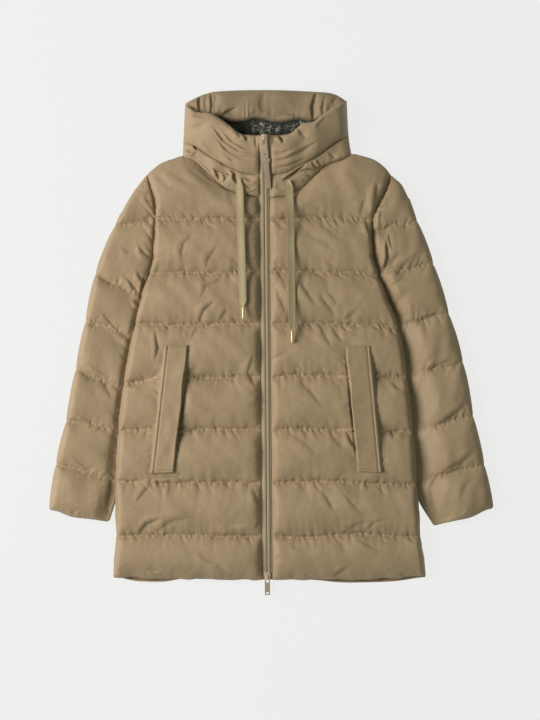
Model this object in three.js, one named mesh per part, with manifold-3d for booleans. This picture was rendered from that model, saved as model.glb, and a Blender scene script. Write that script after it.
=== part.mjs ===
// A hooded puffer jacket, zipped shut and laid flat on its back.
// Millimetres. +X is to the right as the front is looked at, +Y runs to the hood, +Z is up.
// The surface it lies on is z = 0, and the origin is under the middle of the jacket.
import * as THREE from 'three';
import Module from 'manifold-3d';
import { mergeVertices } from 'three/addons/utils/BufferGeometryUtils.js';

const wasm = await Module();
wasm.setup();

// ---- driving dimensions ----
const GAP = 0.3;              // between pieces that meet at a seam
const HEM_Y = -411;           // hem at the side seams
const HEM_DROP = 5;           // how much lower the hem hangs at the zip
const FIRST_QUILT_Y = 217.5;  // first line sewn across the chest
const QUILT_PITCH = 92.5;     // height of one channel
const QUILT_LINES = 7;
const LAST_QUILT_Y = FIRST_QUILT_Y - (QUILT_LINES - 1) * QUILT_PITCH;
const ARMHOLE_TOP_Y = 294;
const BACK_THICK = 14;        // padded back, flattened where it lies
const SEAM_THICK = 6;         // padded cloth where it is sewn down
const FRONT_PUFF = 16;        // how far a front channel rises above its seams
const SLEEVE_PUFF = 14;
const EDGE_ROLL = 40;         // width over which a padded edge rounds off
const EDGE_LIFT = 4;          // how far the underside lifts at its rim
const HEM_SINK = 5;           // the layers sink this much towards the hem
const HEM_SINK_RUN = 60;
const FRONT_ROWS = 4;         // rows of facets in one channel
const BACK_ROWS = 2;
const ZIP_TOP_X = -12.8;      // middle of the zip at the top of the collar
const ZIP_LEAN = 0.0077;      // the zip runs this much to the right for each mm down
const ZIP_TOP_Y = 364;
const TAPE_WIDTH = 8.4;
const TAPE_THICK = 2;
const HOOD_BACK_THICK = 14;
const HOOD_WALL = 14;         // padded wall of the hood's front rolls
const SHELL = { color: 0xa48e6e, roughness: 0.72, metalness: 0 };
const BRASS = { color: 0xd9b878, roughness: 0.3, metalness: 1 };
const ROSE_METAL = { color: 0xa98d7a, roughness: 0.35, metalness: 1 };
const PILE = { color: 0x3a3a2c, roughness: 1, metalness: 0 };
const TAPE = { color: 0x8f7f68, roughness: 0.6, metalness: 0 };
const CORD = { color: 0xb0a076, roughness: 0.8, metalness: 0 };
const SOFT_GRIP = { color: 0x9a8672, roughness: 0.6, metalness: 0 };

// ---- tables: a row for each section, read by the named column ----

// The side of the body, down the armhole and the side seam.
const SIDE = [
  { y: 294, left: -219, right: 210 },
  { y: 255, left: -207, right: 196 },
  { y: 220, left: -203.5, right: 178.5 },
  { y: 180, left: -205, right: 175.5 },
  { y: 140, left: -209, right: 181 },
  { y: 95, left: -223, right: 196 },
  { y: 25, left: -241, right: 223 },
  { y: -95, left: -262, right: 242 },
  { y: -240, left: -272.5, right: 254.5 },
  { y: -345, left: -272, right: 262 },
  { y: -411, left: -277, right: 271 },
];

// Columns of a front, from the zip (across 0) to the armhole (across 1): the neckline and then
// the shoulder.
const COLUMNS = [
  { across: 0, leftTop: 257, rightTop: 256.5 },
  { across: 0.06, leftTop: 259, rightTop: 257.5 },
  { across: 0.16, leftTop: 263, rightTop: 260.5 },
  { across: 0.3, leftTop: 273, rightTop: 279 },
  { across: 0.44, leftTop: 296, rightTop: 310 },
  { across: 0.57, leftTop: 320, rightTop: 321.5 },
  { across: 0.675, leftTop: 327.5, rightTop: 331 },
  { across: 0.76, leftTop: 323, rightTop: 328 },
  { across: 0.87, leftTop: 315, rightTop: 320 },
  { across: 0.95, leftTop: 303, rightTop: 307 },
  { across: 1, leftTop: 294, rightTop: 294 },
];
const NECK_END = 0.675;       // the column where the neckline meets the shoulder

// The same columns as far as the neck goes: the lower and upper edge of the hood's front rolls.
const ROLL_EDGES = [
  { across: 0, leftSeam: 294, rightSeam: 294, leftMouth: 364, rightMouth: 364.5 },
  { across: 0.06, leftSeam: 295.5, rightSeam: 295.5, leftMouth: 364, rightMouth: 364 },
  { across: 0.16, leftSeam: 299.5, rightSeam: 300.5, leftMouth: 368, rightMouth: 367 },
  { across: 0.3, leftSeam: 312, rightSeam: 316, leftMouth: 389, rightMouth: 385 },
  { across: 0.44, leftSeam: 328.5, rightSeam: 335, leftMouth: 401, rightMouth: 401 },
  { across: 0.57, leftSeam: 345, rightSeam: 353.5, leftMouth: 405, rightMouth: 418 },
  { across: 0.675, leftSeam: 354, rightSeam: 363.5, leftMouth: 416, rightMouth: 425 },
];

// Sewn lines and turns of the sleeves. row counts rows down the armhole and side, where the inner
// end lies; x and y are the outer end.
const LEFT_SLEEVE = [
  { row: 0, x: -222, y: 291 },
  { row: 2, x: -247, y: 257 },
  { row: 4, x: -275, y: 205, sewn: true },
  { row: 7, x: -293, y: 163 },
  { row: 10, x: -308.5, y: 121, sewn: true },
  { row: 13, x: -326, y: 38.5, sewn: true },
  { row: 17, x: -343, y: -45.5, sewn: true },
  { row: 20, x: -360, y: -136.5, sewn: true },
  { row: 24, x: -377.7, y: -212.5, sewn: true },
  { row: 28, x: -390, y: -295 },
];
const RIGHT_SLEEVE = [
  { row: 0, x: 213, y: 292 },
  { row: 2, x: 231.5, y: 273 },
  { row: 5, x: 256.5, y: 213.5, sewn: true },
  { row: 8, x: 285, y: 138, sewn: true },
  { row: 12, x: 312, y: 51, sewn: true },
  { row: 16, x: 336.5, y: -34, sewn: true },
  { row: 20, x: 354.5, y: -128, sewn: true },
  { row: 24, x: 374, y: -213.5, sewn: true },
  { row: 28, x: 390, y: -292 },
];
const CUFF_ROW = 24;          // below this row the sleeve leaves the body's side
const SLEEVE_ROWS = 28;
// Inner edge of the sleeves below that row.
const CUFF_INNER = [
  { row: 24, leftX: -272.5, leftY: -245, rightX: 255, rightY: -245 },
  { row: 26, leftX: -275.3, leftY: -280, rightX: 259.7, rightY: -277 },
  { row: 28, leftX: -284, leftY: -312.5, rightX: 284, rightY: -320 },
];
const CUFF_BULGE = { left: 7.5, right: 3 };

// Top fold of the hood, from its left corner to its right one.
const HOOD_TOP = [
  { across: 0, y: 421 },
  { across: 0.09, y: 434 },
  { across: 0.18, y: 441 },
  { across: 0.5, y: 444 },
  { across: 0.8, y: 441 },
  { across: 0.92, y: 437 },
  { across: 1, y: 424 },
];
const HOOD_SIDE = [
  { y: 327, left: -155.4, right: 141.5 },
  { y: 360, left: -154, right: 136 },
  { y: 424, left: -151, right: 132.5 },
];

// Height of the zip along its length: up over the collar and down into the mouth.
const ZIP_PATH = [
  { y: 364, z: 57 },
  { y: 358, z: 60 },
  { y: 348, z: 59.5 },
  { y: 325, z: 50.5 },
  { y: 294, z: 38.5 },
  { y: 270, z: 29 },
  { y: 252, z: 23.5 },
  { y: 230, z: 21 },
  { y: 100, z: 20.5 },
  { y: -100, z: 20.5 },
  { y: -350, z: 20.5 },
  { y: -375, z: 18.5 },
  { y: -395, z: 15 },
  { y: -412, z: 11.5 },
];

// Pocket welts: corners of the left one and the right one.
const WELTS = {
  left: {
    topOuter: [-187, -5], topInner: [-146, -3.5], lowInner: [-171, -226.5], lowOuter: [-212, -228],
  },
  right: {
    topOuter: [173.8, -4.5],
    topInner: [130.2, -5.5],
    lowInner: [151.7, -224.5],
    lowOuter: [194.3, -226.5],
  },
};
const WELT_THICK = 4.5;
const WELT_EDGE = 2.5;
const WELT_CLEAR = 0.7;       // over the front, whose facets rise beside the welt

// Drawcords: flat cords that lie down the fronts.
const CORD_WIDE = 14;
const CORD_THICK = 2.6;
const CORD_ROUTES = {
  left: [
    [-55.5, 287, 39.2], [-55.4, 278, 37.4], [-55.2, 269, 35.8], [-54.9, 259, 35.8],
    [-54.6, 249, 37.2], [-54.3, 239, 38.4], [-53.7, 222, 38.2], [-53, 200, 38.4],
    [-52.2, 171, 38.6], [-51.4, 145, 38.4], [-50.9, 125, 37.8], [-50.3, 102, 38.4],
    [-49.6, 78, 38.6], [-49, 62, 38.4],
  ],
  right: [
    [31, 284, 38.8], [31.2, 275, 37], [31.5, 266, 35.6], [31.8, 257, 35.8],
    [32.1, 247, 37.4], [32.4, 237, 38.4], [32.8, 221, 38.2], [33.4, 200, 38.4],
    [34, 171, 38.6], [34.5, 145, 38.4], [34.8, 125, 37.8], [35.2, 102, 38.4],
    [35.6, 78, 38.6], [35.9, 56, 38.4], [36.2, 34, 37.8], [36.3, 20, 38.2],
  ],
};
const TIP_LENGTH = 20;
const TIP_RADIUS = 2.7;

// ---- small helpers ----
const mix = (a, b, t) => a + (b - a) * t;

// Reads a named column between the rows of a table, on a smooth curve through them.
function column(table, along, name, at) {
  const rows = table.filter((row) => row[name] !== undefined);
  const falling = rows[0][along] > rows[rows.length - 1][along];
  const ordered = falling ? [...rows].reverse() : rows;
  const last = ordered.length - 1;
  const place = Math.min(Math.max(at, ordered[0][along]), ordered[last][along]);
  let i = 0;
  while (i < last - 1 && place > ordered[i + 1][along]) i += 1;
  const slope = (k) => {
    const before = ordered[Math.max(k - 1, 0)];
    const after = ordered[Math.min(k + 1, last)];
    return (after[name] - before[name]) / (after[along] - before[along]);
  };
  const run = ordered[i + 1][along] - ordered[i][along];
  const t = (place - ordered[i][along]) / run;
  const t2 = t * t;
  const t3 = t2 * t;
  return (2 * t3 - 3 * t2 + 1) * ordered[i][name]
    + (t3 - 2 * t2 + t) * run * slope(i)
    + (3 * t2 - 2 * t3) * ordered[i + 1][name]
    + (t3 - t2) * run * slope(i + 1);
}

// A channel's rounded height, 0 at its two seams and 1 between them.
const channel = (f) => Math.sin(Math.PI * Math.min(Math.max(f, 0), 1)) ** 0.6;

// Rounds a padded piece off towards an edge that is this far away.
function rollOff(distance, run = EDGE_ROLL) {
  const t = Math.min(Math.max(distance / run, 0), 1);
  return 1 - (1 - t) ** 2;
}

// The level where the front layers lie on the back ones; it sinks towards the hem.
function layerLevel(y) {
  const t = (HEM_Y + HEM_SINK_RUN - y) / HEM_SINK_RUN;
  return BACK_THICK - HEM_SINK * Math.min(Math.max(t, 0), 1);
}

const zipX = (y) => ZIP_TOP_X + (ZIP_TOP_Y - y) * ZIP_LEAN;
const zipZ = (y) => column(ZIP_PATH, 'y', 'z', y);

// One closed padded piece from a grid of upper points and the same grid of lower points.
// Rows run down the garment and columns run to the right.
function padded(upper, lower) {
  const rows = upper.length;
  const cols = upper[0].length;
  const points = [];
  const faces = [];
  upper.forEach((row) => row.forEach((p) => points.push(...p)));
  lower.forEach((row) => row.forEach((p) => points.push(...p)));
  const top = (i, j) => i * cols + j;
  const low = (i, j) => rows * cols + i * cols + j;
  const quad = (a, b, c, d) => faces.push(a, b, c, a, c, d);
  for (let i = 0; i < rows - 1; i += 1) {
    for (let j = 0; j < cols - 1; j += 1) {
      quad(top(i, j), top(i + 1, j), top(i + 1, j + 1), top(i, j + 1));
      quad(low(i, j), low(i, j + 1), low(i + 1, j + 1), low(i + 1, j));
    }
    quad(top(i, 0), low(i, 0), low(i + 1, 0), top(i + 1, 0));
    quad(top(i + 1, cols - 1), low(i + 1, cols - 1), low(i, cols - 1), top(i, cols - 1));
  }
  for (let j = 0; j < cols - 1; j += 1) {
    quad(top(0, j + 1), low(0, j + 1), low(0, j), top(0, j));
    quad(top(rows - 1, j), low(rows - 1, j), low(rows - 1, j + 1), top(rows - 1, j + 1));
  }
  const geometry = new THREE.BufferGeometry();
  geometry.setAttribute('position', new THREE.Float32BufferAttribute(points, 3));
  geometry.setIndex(faces);
  geometry.computeVertexNormals();
  return geometry;
}

// A grid of points: rows by columns, each worked out from its row and column.
const grid = (rows, cols, point) => Array.from({ length: rows }, (_, i) => (
  Array.from({ length: cols }, (__, j) => point(i, j))));

function mesh(name, geometry, finish) {
  const piece = new THREE.Mesh(geometry, new THREE.MeshStandardMaterial(finish));
  piece.name = name;
  return piece;
}

// Turns a geometry into a solid that can be joined to another, and back.
function solid(geometry) {
  const bare = geometry.clone();
  bare.deleteAttribute('normal');
  bare.deleteAttribute('uv');
  const merged = mergeVertices(bare, 1e-4);
  const vertProperties = new Float32Array(merged.attributes.position.array);
  const triVerts = new Uint32Array(merged.index.array);
  return new wasm.Manifold(new wasm.Mesh({ numProp: 3, vertProperties, triVerts }));
}

function fromSolid(body) {
  const { vertProperties, triVerts } = body.getMesh();
  const geometry = new THREE.BufferGeometry();
  geometry.setAttribute('position', new THREE.BufferAttribute(vertProperties, 3));
  geometry.setIndex(new THREE.BufferAttribute(triVerts, 1));
  geometry.computeVertexNormals();
  return geometry;
}

// ---- the body ----

// Row r of a body panel: which block it is in, how far down the block, and its height up the body.
function bodyRow(r, rowsPerChannel) {
  const block = Math.min(Math.floor(r / rowsPerChannel), QUILT_LINES);
  const f = r / rowsPerChannel - block;
  const from = block === 0 ? ARMHOLE_TOP_Y : FIRST_QUILT_Y - (block - 1) * QUILT_PITCH;
  const to = block === QUILT_LINES ? HEM_Y : FIRST_QUILT_Y - block * QUILT_PITCH;
  return { block, f, y: mix(from, to, f) };
}

// The seam across the back of the neck, from one shoulder point to the other.
const backNeckY = (x) => mix(327.5, 331, (x + 155) / 296);

const HEM_HALF = 270;
const hemY = (x) => HEM_Y - HEM_DROP * (1 - Math.min(Math.abs(x) / HEM_HALF, 1) ** 2);

// Where a point of the body lies: `across` runs from the zip to the side seam on that side.
function bodyPoint(side, row, across, topName) {
  const sideX = column(SIDE, 'y', side, row.y);
  const out = side === 'left' ? -1 : 1;
  const zipEdge = zipX(row.y) + out * (TAPE_WIDTH + 2 * GAP);
  const x = mix(zipEdge, sideX, across);
  let y = row.y;
  if (row.block === 0) y = mix(column(COLUMNS, 'across', topName, across), FIRST_QUILT_Y, row.f);
  if (row.block === QUILT_LINES) y = mix(LAST_QUILT_Y, hemY(x), row.f);
  return { x, y, toSide: Math.abs(sideX - x), toZip: Math.abs(x - zipEdge) };
}

// The quilting stops under the pocket welts, where the front is pressed level.
const WELT_PRESS = 0.75;      // how far of its full puff the front rises there
const ZIP_SIDE_ROLL = 34;     // width over which a front rounds off towards the zip
const underWelt = (across, y) => across > 0.5 && across < 0.8 && y < 10 && y > -235;

function frontHeight(place, row, across) {
  const puffed = channel(row.f) * rollOff(place.toSide) * rollOff(place.toZip, ZIP_SIDE_ROLL);
  const rise = underWelt(across, place.y) ? WELT_PRESS : puffed;
  return layerLevel(place.y) + GAP + SEAM_THICK + FRONT_PUFF * rise;
}

function front(side) {
  const across = COLUMNS.map((c) => c.across);
  if (side === 'left') across.reverse();
  const rows = (QUILT_LINES + 1) * FRONT_ROWS + 1;
  const point = (i, j) => {
    const row = bodyRow(i, FRONT_ROWS);
    return { row, place: bodyPoint(side, row, across[j], `${side}Top`) };
  };
  const upper = grid(rows, across.length, (i, j) => {
    const { row, place } = point(i, j);
    return [place.x, place.y, frontHeight(place, row, across[j])];
  });
  const lower = grid(rows, across.length, (i, j) => {
    const { place } = point(i, j);
    return [place.x, place.y, layerLevel(place.y) + GAP];
  });
  return mesh(`front_${side}`, padded(upper, lower), SHELL);
}

function backPanel() {
  const steps = [1, 0.86, 0.675, 0.44, 0.2];
  const columns = [
    ...steps.map((across) => ({ side: 'left', across })),
    ...[...steps].reverse().map((across) => ({ side: 'right', across })),
  ];
  const rows = (QUILT_LINES + 1) * BACK_ROWS + 1;
  const lastCol = columns.length - 1;
  const place = (i, j) => {
    const { side, across } = columns[j];
    const row = bodyRow(i, BACK_ROWS);
    const spot = bodyPoint(side, row, across, `${side}Top`);
    // Across the neck the back's own top edge is nearly straight.
    if (row.block === 0 && across < NECK_END) {
      spot.y = mix(backNeckY(spot.x), FIRST_QUILT_Y, row.f);
    }
    return spot;
  };
  const rim = (i, j) => i === 0 || i === rows - 1 || j === 0 || j === lastCol;
  const upper = grid(rows, columns.length, (i, j) => {
    const p = place(i, j);
    return [p.x, p.y, layerLevel(p.y)];
  });
  const lower = grid(rows, columns.length, (i, j) => {
    const p = place(i, j);
    return [p.x, p.y, rim(i, j) ? EDGE_LIFT : 0];
  });
  return mesh('back_panel', padded(upper, lower), SHELL);
}

// ---- sleeves ----

// How far down its own channel a row of the sleeve lies.
function sleeveFraction(table, row) {
  const seams = [0, ...table.filter((s) => s.sewn).map((s) => s.row), SLEEVE_ROWS];
  let k = 0;
  while (k < seams.length - 2 && row >= seams[k + 1]) k += 1;
  return (row - seams[k]) / (seams[k + 1] - seams[k]);
}

// Inner end of a sleeve's row: it keeps the seam gap to the body's side.
function sleeveInner(side, row) {
  const out = side === 'left' ? -1 : 1;
  if (row <= CUFF_ROW) {
    const { y } = bodyRow(row, FRONT_ROWS);
    return { x: column(SIDE, 'y', side, y) + out * GAP, y };
  }
  return {
    x: column(CUFF_INNER, 'row', `${side}X`, row) + out * GAP,
    y: column(CUFF_INNER, 'row', `${side}Y`, row),
  };
}

function sleeve(side, layer) {
  const table = side === 'left' ? LEFT_SLEEVE : RIGHT_SLEEVE;
  const step = layer === 'front' ? 1 : 2;
  const rows = SLEEVE_ROWS / step + 1;
  const across = layer === 'front' ? [0, 0.12, 0.3, 0.5, 0.7, 0.88, 1] : [0, 0.12, 0.5, 0.88, 1];
  const place = (i, j) => {
    const row = i * step;
    const inner = sleeveInner(side, row);
    const outer = { x: column(table, 'row', 'x', row), y: column(table, 'row', 'y', row) };
    const u = side === 'left' ? across[j] : 1 - across[j];
    const pastCuff = Math.max(0, (row - CUFF_ROW) / (SLEEVE_ROWS - CUFF_ROW));
    const sag = CUFF_BULGE[side] * Math.sin(Math.PI * u) * pastCuff;
    const wide = Math.hypot(inner.x - outer.x, inner.y - outer.y);
    return {
      x: mix(outer.x, inner.x, u),
      y: mix(outer.y, inner.y, u) - sag,
      toEdge: Math.min(u, 1 - u) * wide,
      f: sleeveFraction(table, row),
      end: row === SLEEVE_ROWS,
    };
  };
  const lift = BACK_THICK + GAP;
  const rim = (i, j) => i === 0 || i === rows - 1 || j === 0 || j === across.length - 1;
  const upper = grid(rows, across.length, (i, j) => {
    const p = place(i, j);
    const puff = SLEEVE_PUFF * channel(p.f) * rollOff(p.toEdge);
    return [p.x, p.y, layer === 'front' ? lift + SEAM_THICK + puff : BACK_THICK];
  });
  const lower = grid(rows, across.length, (i, j) => {
    const p = place(i, j);
    const under = rim(i, j) ? EDGE_LIFT : 0;
    return [p.x, p.y, layer === 'front' ? lift : under];
  });
  return mesh(`sleeve_${side}_${layer}`, padded(upper, lower), SHELL);
}

// ---- hood ----
const hoodSide = (side, y) => column(HOOD_SIDE, 'y', side, y);
const hoodX = (across, y) => mix(hoodSide('left', y), hoodSide('right', y), across);
const HOOD_ACROSS = [0, 0.05, 0.12, 0.22, 0.36, 0.5, 0.64, 0.78, 0.88, 0.95, 1];

function hoodBack() {
  const steps = [0, 0.2, 0.5, 0.8, 1];
  const place = (i, j) => {
    const across = HOOD_ACROSS[j];
    const foot = backNeckY(hoodX(across, HOOD_SIDE[0].y)) + 2 * GAP;
    const y = mix(column(HOOD_TOP, 'across', 'y', across), foot, steps[i]);
    const ends = i === 0 || i === steps.length - 1;
    return { x: hoodX(across, y), y, rim: ends || j === 0 || j === HOOD_ACROSS.length - 1 };
  };
  const upper = grid(steps.length, HOOD_ACROSS.length, (i, j) => {
    const p = place(i, j);
    return [p.x, p.y, HOOD_BACK_THICK];
  });
  const lower = grid(steps.length, HOOD_ACROSS.length, (i, j) => {
    const p = place(i, j);
    return [p.x, p.y, p.rim ? EDGE_LIFT : 0];
  });
  return mesh('hood_back', padded(upper, lower), SHELL);
}

// The facing is the shell cloth turned in along the brim; it ends where the pile starts.
const FACING_FOOT_Y = 387;
const FACING_SEAM = 5;
const FACING_PUFF = 13;
const FACING_ROLL = 0.2;      // share of the width over which it rounds off at each side

function hoodFacing() {
  const steps = [0, 0.14, 0.4, 0.7, 0.9, 1];
  const across = HOOD_ACROSS.filter((a) => a > 0 && a < 1);
  const base = HOOD_BACK_THICK + GAP;
  const place = (i, j) => {
    const y = mix(column(HOOD_TOP, 'across', 'y', across[j]) - 1, FACING_FOOT_Y, steps[i]);
    return { x: hoodX(across[j], y), y, f: steps[i], u: across[j] };
  };
  const upper = grid(steps.length, across.length, (i, j) => {
    const p = place(i, j);
    const side = rollOff(Math.min(p.u, 1 - p.u), FACING_ROLL);
    const puff = FACING_PUFF * side * channel(p.f * 0.85 + 0.08);
    return [p.x, p.y, base + FACING_SEAM + puff];
  });
  const lower = grid(steps.length, across.length, (i, j) => {
    const p = place(i, j);
    return [p.x, p.y, base];
  });
  return mesh('hood_inner_facing', padded(upper, lower), SHELL);
}

const PILE_THICK = 6;
const PILE_FOOT_Y = 334;
const PILE_RIM_DROP = 1.5;

function hoodPile() {
  const steps = [0, 0.33, 0.67, 1];
  const across = HOOD_ACROSS.filter((a) => a >= 0.12 && a <= 0.88);
  const base = HOOD_BACK_THICK + GAP;
  const at = (i, j, z) => {
    const y = mix(FACING_FOOT_Y - GAP, PILE_FOOT_Y, steps[i]);
    return [hoodX(across[j], y), y, z];
  };
  const upper = grid(steps.length, across.length, (i, j) => {
    const rim = i === 0 || i === steps.length - 1 || j === 0 || j === across.length - 1;
    return at(i, j, base + PILE_THICK - (rim ? PILE_RIM_DROP : 0));
  });
  const lower = grid(steps.length, across.length, (i, j) => at(i, j, base));
  return mesh('hood_pile_lining', padded(upper, lower), PILE);
}

// Across the neck the hood stands highest at the zip and comes down to the fold at its sides.
const dome = (across) => Math.sqrt(Math.max(0, 1 - (across / NECK_END) ** 2.4));
const ROLL_ACROSS = [0, 0.06, 0.16, 0.3, 0.44, 0.57, 0.64, 0.675];
const SIDE_SEAM_Z = 22;
const SIDE_MOUTH_Z = 28;
const ROLL_BULGE = 8;
const ROLL_FOOT_Y = 294;      // where the rolls' lower seam meets the zip
const MOUTH_SINK = 2;         // how far the mouth's edge lies under the zip's end

const seamZ = (across) => mix(SIDE_SEAM_Z, zipZ(ROLL_FOOT_Y), dome(across));

// Beside the zip a padded part comes down to just over the tape.
const ZIP_EDGE_RISE = 2;
const ZIP_EDGE_RUN = 12;

function besideZip(p, z) {
  const away = Math.abs(p.x - zipX(p.y)) - TAPE_WIDTH - 2 * GAP;
  const low = Math.min(z, zipZ(p.y) + ZIP_EDGE_RISE);
  return mix(low, z, rollOff(away, ZIP_EDGE_RUN));
}

// A point of the collar and hood: v runs from the lower edge to the upper edge of the piece.
function neckPoint(side, across, v, low, high) {
  const out = side === 'left' ? -1 : 1;
  const y = mix(low(across), high(across), v);
  const zipEdge = zipX(y) + out * (TAPE_WIDTH + 2 * GAP);
  return { x: mix(zipEdge, hoodSide(side, y), across / NECK_END), y };
}

const neckline = (side) => (across) => column(COLUMNS, 'across', `${side}Top`, across);
const rollSeam = (side) => (across) => column(ROLL_EDGES, 'across', `${side}Seam`, across);
const mouthEdge = (side) => (across) => column(ROLL_EDGES, 'across', `${side}Mouth`, across);

function hoodRoll(side) {
  const across = side === 'left' ? [...ROLL_ACROSS].reverse() : ROLL_ACROSS;
  const steps = [1, 0.94, 0.82, 0.62, 0.4, 0.18, 0.05, 0];
  const place = (i, j) => neckPoint(side, across[j], steps[i], rollSeam(side), mouthEdge(side));
  const outer = (i, j) => {
    const v = steps[i];
    const d = dome(across[j]);
    const atMouth = mix(SIDE_MOUTH_Z, zipZ(ZIP_TOP_Y) - MOUTH_SINK, d);
    const line = mix(seamZ(across[j]), atMouth, v);
    return besideZip(place(i, j), line + (ROLL_BULGE + 2 * d) * channel(v));
  };
  const upper = grid(steps.length, across.length, (i, j) => {
    const p = place(i, j);
    return [p.x, p.y + 2 * GAP, outer(i, j)];
  });
  const lower = grid(steps.length, across.length, (i, j) => {
    const p = place(i, j);
    const fill = channel(steps[i]) * Math.min(1, 0.35 + dome(across[j]));
    const thick = SEAM_THICK + (HOOD_WALL - SEAM_THICK) * fill;
    return [p.x, p.y + 2 * GAP, outer(i, j) - thick];
  });
  return mesh(`hood_front_${side}`, padded(upper, lower), SHELL);
}

const BAND_LAP_Z = BACK_THICK + 3 * GAP + SEAM_THICK;
const BAND_EDGE = 4;          // thickness of a band at its two seams
const BAND_PUFF = 4;

function underCollar(side) {
  const across = side === 'left' ? [...ROLL_ACROSS].reverse() : ROLL_ACROSS;
  const steps = [1, 0.75, 0.5, 0.25, 0];
  const place = (i, j) => neckPoint(side, across[j], steps[i], neckline(side), rollSeam(side));
  const lowest = (i, j) => {
    const v = steps[i];
    const high = seamZ(across[j]) - SEAM_THICK;
    return mix(BAND_LAP_Z, Math.max(high, BAND_LAP_Z), v);
  };
  const upper = grid(steps.length, across.length, (i, j) => {
    const p = place(i, j);
    const rise = BAND_EDGE + BAND_PUFF * channel(steps[i]);
    return [p.x, p.y + GAP, besideZip(p, lowest(i, j) + rise)];
  });
  const lower = grid(steps.length, across.length, (i, j) => {
    const p = place(i, j);
    return [p.x, p.y + GAP, lowest(i, j)];
  });
  return mesh(`under_collar_${side}`, padded(upper, lower), SHELL);
}

// ---- pocket welts ----
function pocketWelt(side) {
  const w = WELTS[side];
  const down = [0, 0.03, 0.35, 0.65, 0.97, 1];
  const over = [0, 0.14, 0.86, 1];
  const leftTop = side === 'left' ? w.topOuter : w.topInner;
  const rightTop = side === 'left' ? w.topInner : w.topOuter;
  const leftLow = side === 'left' ? w.lowOuter : w.lowInner;
  const rightLow = side === 'left' ? w.lowInner : w.lowOuter;
  const base = BACK_THICK + GAP + SEAM_THICK + WELT_PRESS * FRONT_PUFF + WELT_CLEAR;
  const at = (i, j, z) => {
    const u = over[j];
    const v = down[i];
    const x = mix(mix(leftTop[0], rightTop[0], u), mix(leftLow[0], rightLow[0], u), v);
    const y = mix(mix(leftTop[1], rightTop[1], u), mix(leftLow[1], rightLow[1], u), v);
    return [x, y, z];
  };
  const edge = (i, j) => i === 0 || i === down.length - 1 || j === 0 || j === over.length - 1;
  const thick = (i, j) => (edge(i, j) ? WELT_EDGE : WELT_THICK);
  const upper = grid(down.length, over.length, (i, j) => at(i, j, base + thick(i, j)));
  const lower = grid(down.length, over.length, (i, j) => at(i, j, base));
  return mesh(`pocket_welt_${side}`, padded(upper, lower), SHELL);
}

// ---- zip ----
function zipTape(side) {
  const out = side === 'left' ? -1 : 1;
  const stations = [
    364, 358, 352, 346, 336, 325, 310, 294, 282, 270, 258, 248, 236,
    150, 0, -150, -350, -362, -375, -385, -395, -412,
  ];
  const at = (i, j, drop) => {
    const y = stations[i];
    const near = GAP / 2;
    const offset = side === 'left' ? [TAPE_WIDTH + near, near][j] : [near, TAPE_WIDTH + near][j];
    return [zipX(y) + out * offset, y, zipZ(y) - drop];
  };
  const upper = grid(stations.length, 2, (i, j) => at(i, j, 0));
  const lower = grid(stations.length, 2, (i, j) => at(i, j, TAPE_THICK));
  return mesh(`zip_tape_${side}`, padded(upper, lower), TAPE);
}

// A flat plate from an outline, of this thickness, its middle at z = 0.
function plate(outline, depth, curveSegments = 6) {
  const settings = { depth, bevelEnabled: false, curveSegments };
  const geometry = new THREE.ExtrudeGeometry(outline, settings);
  geometry.translate(0, 0, -depth / 2);
  return geometry;
}

// A box outline with rounded corners whose upper side is at y0, centred on x = 0.
function roundedBox(wide, long, radius, y0 = 0) {
  const shape = new THREE.Shape();
  const half = wide / 2;
  shape.moveTo(-half + radius, y0);
  shape.lineTo(half - radius, y0);
  shape.absarc(half - radius, y0 - radius, radius, Math.PI / 2, 0, true);
  shape.lineTo(half, y0 - long + radius);
  shape.absarc(half - radius, y0 - long + radius, radius, 0, -Math.PI / 2, true);
  shape.lineTo(-half + radius, y0 - long);
  shape.absarc(-half + radius, y0 - long + radius, radius, -Math.PI / 2, -Math.PI, true);
  shape.lineTo(-half, y0 - radius);
  shape.absarc(-half + radius, y0 - radius, radius, Math.PI, Math.PI / 2, true);
  return shape;
}

// The slider's top plate with its arched bridge. The pivot of the pull is at the origin.
const PIVOT_UP = 3.4;         // from the tapes' face to the pivot
const PLATE_THICK = 1.6;
const PLATE_HALF = 5.8;
const BRIDGE_WIDE = 3;
const BRIDGE_SINK = 0.2;      // how far the bridge's feet go into the plate
const BAR_THICK = 1.5;        // thickness of a metal tab

function sliderBody(long, plateStart) {
  const outline = new THREE.Shape();
  const half = PLATE_HALF;
  outline.moveTo(-half * 0.72, plateStart);
  outline.lineTo(half * 0.72, plateStart);
  outline.quadraticCurveTo(half, plateStart - long * 0.25, half, plateStart - long * 0.45);
  outline.lineTo(half * 0.8, plateStart - long);
  outline.lineTo(-half * 0.8, plateStart - long);
  outline.lineTo(-half, plateStart - long * 0.45);
  outline.quadraticCurveTo(-half, plateStart - long * 0.25, -half * 0.72, plateStart);
  const base = plate(outline, PLATE_THICK, 4);
  base.translate(0, 0, -PIVOT_UP + GAP + PLATE_THICK / 2);
  const arch = new THREE.Shape();
  const foot = -PIVOT_UP + GAP + PLATE_THICK - BRIDGE_SINK;
  arch.moveTo(-2.9, foot);
  arch.lineTo(-2.7, 1.2);
  arch.quadraticCurveTo(-2.2, 2.7, 0, 2.8);
  arch.quadraticCurveTo(4, 2.7, 6, foot);
  arch.lineTo(3.4, foot);
  arch.quadraticCurveTo(2.4, 1.4, 0, 1.4);
  arch.quadraticCurveTo(-1.4, 1.4, -1.5, 0.4);
  arch.lineTo(-1.6, foot);
  const bridge = plate(arch, BRIDGE_WIDE, 4);
  // The outline's x is along the zip, downwards first, and its y is up.
  bridge.rotateX(Math.PI / 2);
  bridge.rotateZ(Math.PI / 2);
  return fromSolid(solid(base).add(solid(bridge)));
}

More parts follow.
